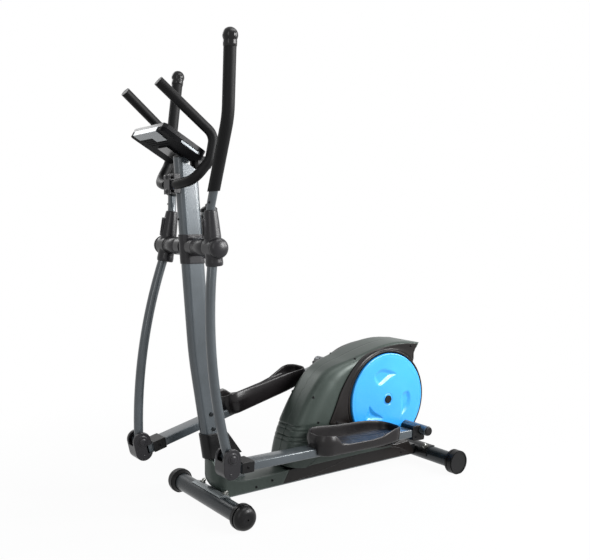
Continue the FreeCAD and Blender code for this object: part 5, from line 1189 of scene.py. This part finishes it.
# %% [markdown]
# A fine bead is moulded into each side of the rail cover: it rises from the front, runs under the trays and
# drops to the rear foot. A bump in the finish would vanish at its edges, so a second tree sweeps a small
# circle along a route, half sunk in the cover.

# %% Bead on the rail cover
beads, source, bead_inputs = start_tree("bead", [
    ("Bead radius", "NodeSocketFloat"), ("Finish", "NodeSocketMaterial")])
section = add(beads, "GeometryNodeCurvePrimitiveCircle", {
    "Radius": source.outputs["Bead radius"], "Resolution": 8})
as_curve = add(beads, "GeometryNodeMeshToCurve", {"Mesh": source.outputs["Geometry"]})
tube = add(beads, "GeometryNodeCurveToMesh", {
    "Curve": as_curve.outputs[0], "Profile Curve": section.outputs[0], "Fill Caps": True})
end_tree(beads, tube.outputs[0], source.outputs["Finish"])
BEAD = [(-70, 49), (20, 57), (80, 67), (140, 78), (200, 87), (270, 94), (340, 96), (400, 92), (440, 82),
        (470, 68), (490, 54)]
BEAD_HALF, BEAD_R = 49.6, 1.5


def bead_piece(name, route, radius_mm, finish):
    """A bead along a route of points in millimetres."""
    mesh = bpy.data.meshes.new(name)
    mesh.from_pydata([Vector(p) * MM for p in route], [(i, i + 1) for i in range(len(route) - 1)], [])
    values = {"Bead radius": radius_mm * MM, "Finish": finish}
    return grown(linked(name + ".seed", mesh), beads, bead_inputs, values, name, 60.0)


for word, side in SIDE.items():
    route = [(x, side * BEAD_HALF, z) for x, z in smooth_line(BEAD, 8)]
    stand_for(bead_piece("rail_cover_bead_" + word, route, BEAD_R, trim_plastic), "frame", "trim_plastic")

# %% [markdown]
# The drink bottle is blown from milky polyethylene, with finger grooves near its neck, and closed by a black
# screw cap. A cylinder would show neither, so both are turned profiles. The cap's grip ribs are made by
# pulling in every other pair of columns, which is cheaper than a boolean for each rib.

# %% Bottle
BODY_R, BOTTLE_Z0, BOTTLE_Z1 = 27.7, 866.0, 1018.0
GRIP_FROM, GRIP_TO, GRIP_PITCH, GRIP_DEPTH, GRIP_HALF = 104, 140, 9, 1.6, 1.7
CAP_RIB, CAP_RIB_TOP, CAP_SKIRT_R, CAP_COLUMNS = 0.7, 8.5, 27, 96
MAST_TOP, MAST_KNEE, BOTTLE_OFF = (-465.6, 1182.0), (-421.5, 540.0), 75.0


def bottle_point(z):
    """Point on the bottle's axis, which runs beside the mast's upper line."""
    t = (z - MAST_TOP[1]) / (MAST_KNEE[1] - MAST_TOP[1])
    return Vector((MAST_TOP[0] + t * (MAST_KNEE[0] - MAST_TOP[0]) + BOTTLE_OFF, 0, z))


def body_radius(along):
    """Radius of the bottle's wall, with its finger grooves."""
    grooved = GRIP_FROM < along < GRIP_TO
    off = (along - 120) % GRIP_PITCH - GRIP_PITCH / 2
    return BODY_R - (GRIP_DEPTH * math.exp(-(off / GRIP_HALF) ** 2) if grooved else 0.0)


foot, neck = bottle_point(BOTTLE_Z0), bottle_point(BOTTLE_Z1)
tall = (neck - foot).length
body_profile = [(0.4, 0), (0.4, 18), (1.6, 24), (5, 27.2), (9, BODY_R)]
body_profile += [(s, body_radius(s)) for s in [12 + 1.5 * k for k in range(90)] if s < tall - 2]
body_profile += [(tall - 0.5, 27), (tall + 2, 23), (tall + 2, 0)]
stand_for(piece("bottle_body", *lathe(foot, neck - foot, body_profile, 64), bottle_plastic, 60.0), "frame",
          "bottle_plastic", "bottle")
lid = [(-0.2, 0), (-0.2, 28.2), (8, 28.2), (9.5, 27.4), (12, 25), (16, 19.5), (18, 13), (18.6, 12), (24, 11),
       (26, 8.5), (26.6, 0)]
lid_points, lid_faces = lathe(neck, neck - foot, lid, CAP_COLUMNS)
axis = (neck - foot).normalized()
ribbed = []
for i, p in enumerate(lid_points):
    offset = Vector(p) - neck
    along = offset.dot(axis)
    out = offset - axis * along
    pulled = 0 < along < CAP_RIB_TOP and (i // len(lid)) % 4 < 2 and out.length > CAP_SKIRT_R
    ribbed.append(tuple(neck + axis * along + out * (1 - (CAP_RIB if pulled else 0.0) / max(out.length, 1))))
stand_for(piece("bottle_cap", ribbed, lid_faces, cap_plastic, 40.0), "frame", "cap_plastic")

# %% [markdown]
# The console's face looks up at the rider. Under the smoked lens lies a grey-green liquid crystal panel, and
# a silver ring stands round each key; nothing is lit while the machine stands idle. A colour patch on the
# lens would look painted, so the panel is a thin plate of its own, and the rings are turned.

# %% Console display
CONSOLE_TILT, CONSOLE_X, CONSOLE_Z, CONSOLE_TOP = math.radians(30.7), -535.0, 1220.0, 28.0


def on_console(p):
    """Point drawn on the console's back face: X down its slope, Z out of its face."""
    return tilted(p, (CONSOLE_X, CONSOLE_Z), CONSOLE_TILT)


def plate(u0, u1, y0, y1, w0, w1, r):
    """Thin plate with round corners and a chamfered edge, drawn on the console."""
    levels = ((w0, 0.0), (w1 - 0.25, 0.0), (w1, 0.3))
    rings = [[(*p, w) for p in round_box(u0, u1, y0, y1, r, inset)] for w, inset in levels]
    bottom, top = [[((u0 + u1) / 2, (y0 + y1) / 2, w)] * len(rings[0]) for w in (w0, w1)]
    return grid([list(column) for column in zip(bottom, *rings, top)], closed=True)


panel = merged([plate(-52, -2, -50, 50, CONSOLE_TOP - 0.9, CONSOLE_TOP - 0.35, 3)], on_console)
stand_for(piece("display_panel", *panel, lcd, 30.0), "frame", "lens")
KEY_X, KEY_HALF_GAP = 52, 26
RING = [(-1, 9.2), (-1, 12), (0.5, 12), (1.0, 11.4), (1.0, 9.9), (0.5, 9.2), (-1, 9.2)]
ring = [(CONSOLE_TOP + up, radius) for up, radius in RING]
rings = [lathe((KEY_X, side * KEY_HALF_GAP, 0), (0, 0, 1), ring, 40) for side in SIDE.values()]
stand_for(piece("key_rings", *merged(rings, on_console), silver_plastic, 40.0), "frame", "silver_plastic")

# %% [markdown]
# The studio is a flat pale floor. Brighter lamps would wash it to white, but they would wash out the machine
# too. So to the camera, to gloss and through clear parts the floor glows white, near the machine a little of
# its grey paper and the shadow shows through the glow, and the lamps stay gentle.

# %% Floor
def backdrop_share(tree):
    """1 for rays that see the backdrop, from the camera, off gloss or through clear parts; 0 for light."""
    seen = add(tree, "ShaderNodeLightPath")
    first = add(tree, "ShaderNodeMath", {0: seen.outputs["Is Camera Ray"], 1: seen.outputs["Is Glossy Ray"]},
                operation="MAXIMUM")
    both = add(tree, "ShaderNodeMath", {0: first.outputs[0], 1: seen.outputs["Is Transmission Ray"]},
               operation="MAXIMUM")
    return both.outputs[0]


FLOOR_REACH, FADE_FROM, FADE_TO, NEAR_GLOW = 14.0, 0.7, 1.9, 0.955
floor_mesh = bpy.data.meshes.new("floor")
floor_corners = [(x * FLOOR_REACH, y * FLOOR_REACH, 0) for x, y in ((-1, -1), (1, -1), (1, 1), (-1, 1))]
floor_mesh.from_pydata(floor_corners, [], [(0, 1, 2, 3)])
floor = linked("floor", floor_mesh)
# Matt studio paper: an even pale grey with no highlight at all.
floor_paint, tree, shader, where = start_material("studio floor")
shader.inputs["Base Color"].default_value = paint("#c4c6c8")
shader.inputs["Roughness"].default_value = 0.9
output = [n for n in tree.nodes if n.type == "OUTPUT_MATERIAL"][0]
glow = add(tree, "ShaderNodeEmission", {"Color": (1, 1, 1, 1), "Strength": 1.0})
away = add(tree, "ShaderNodeVectorMath", {0: where}, operation="LENGTH")
fade = add(tree, "ShaderNodeMapRange", {"Value": away.outputs["Value"], "From Min": FADE_FROM,
                                        "From Max": FADE_TO, "To Min": NEAR_GLOW, "To Max": 1.0},
           interpolation_type="SMOOTHSTEP")
share = add(tree, "ShaderNodeMath", {0: backdrop_share(tree), 1: fade.outputs[0]}, operation="MULTIPLY")
blend = add(tree, "ShaderNodeMixShader", {0: share.outputs[0], 1: shader.outputs[0], 2: glow.outputs[0]})
tree.links.new(blend.outputs[0], output.inputs["Surface"])
floor_mesh.materials.append(floor_paint)
print("floor reaches", FLOOR_REACH, "m each way")

# %% [markdown]
# Soft boxes light the machine, as in a product studio: two tall ones on the camera's side for the lines of
# light down the tubes, a weak one in front, one overhead and one on the far side. A sun lamp would give hard
# shadows, and a bright world alone would give none, so the world only fills in, and shows white behind.

# %% World and lamps
world = bpy.data.worlds.new("studio")
bpy.context.scene.world = world
world.use_nodes = True
sky = world.node_tree
sky.nodes.clear()
plain = add(sky, "ShaderNodeBackground", {"Color": paint("#e4e7ea"), "Strength": 0.20})
white = add(sky, "ShaderNodeBackground", {"Color": (1, 1, 1, 1), "Strength": 1.0})
blend = add(sky, "ShaderNodeMixShader", {0: backdrop_share(sky), 1: plain.outputs[0], 2: white.outputs[0]})
add(sky, "ShaderNodeOutputWorld", {"Surface": blend.outputs[0]})


def softbox(name, place, aim, width, height, power):
    """A rectangular lamp at a place, pointed at a spot."""
    data = bpy.data.lights.new(name, "AREA")
    data.shape = "RECTANGLE"
    data.size, data.size_y, data.energy = width, height, power
    lamp = linked(name, data)
    lamp.location = place
    lamp.rotation_euler = (Vector(aim) - Vector(place)).to_track_quat("-Z", "Y").to_euler()
    print(name, power, "W")


softbox("side strip box", (1.4, -2.5, 1.8), (-0.3, 0.0, 1.0), 0.9, 1.4, 110)
softbox("rear side box", (2.8, -1.6, 2.0), (0.0, 0.0, 0.7), 0.8, 1.8, 92)
softbox("front box", (-2.4, -1.6, 1.8), (0.0, 0.0, 0.6), 0.5, 2.0, 12)
softbox("top box", (0.3, -0.9, 3.1), (0.0, 0.0, 0.4), 2.0, 1.0, 30)
softbox("far side box", (-0.9, 2.6, 2.7), (0.0, 0.0, 0.6), 1.6, 1.2, 26)

# %% [markdown]
# The camera stands about a metre up, at the machine's front left. A wide lens close up would bend the feet
# outwards, so a normal to slightly long one is used from nearly three metres.

# %% Camera
SENSOR_MM, LENS_MM = 36.0, 47.48949
AZIMUTH, ELEVATION, ROLL = math.radians(-35.25), math.radians(4.51), math.radians(-0.13)
TARGET, DISTANCE = Vector((-0.0286, 0.0, 0.7716)), 2.8187
camera_data = bpy.data.cameras.new("camera")
camera_data.sensor_width, camera_data.lens = SENSOR_MM, LENS_MM
camera = linked("camera", camera_data)
back = Vector((math.sin(AZIMUTH) * math.cos(ELEVATION), -math.cos(AZIMUTH) * math.cos(ELEVATION),
               math.sin(ELEVATION)))
camera.location = TARGET + back * DISTANCE
turn = (-back).to_track_quat("-Z", "Y").to_matrix() @ Matrix.Rotation(ROLL, 3, "Z")
camera.rotation_euler = turn.to_euler()
bpy.context.scene.camera = camera
bpy.context.scene.view_settings.view_transform = "Standard"
print("camera stands at", [round(v, 2) for v in camera.location])
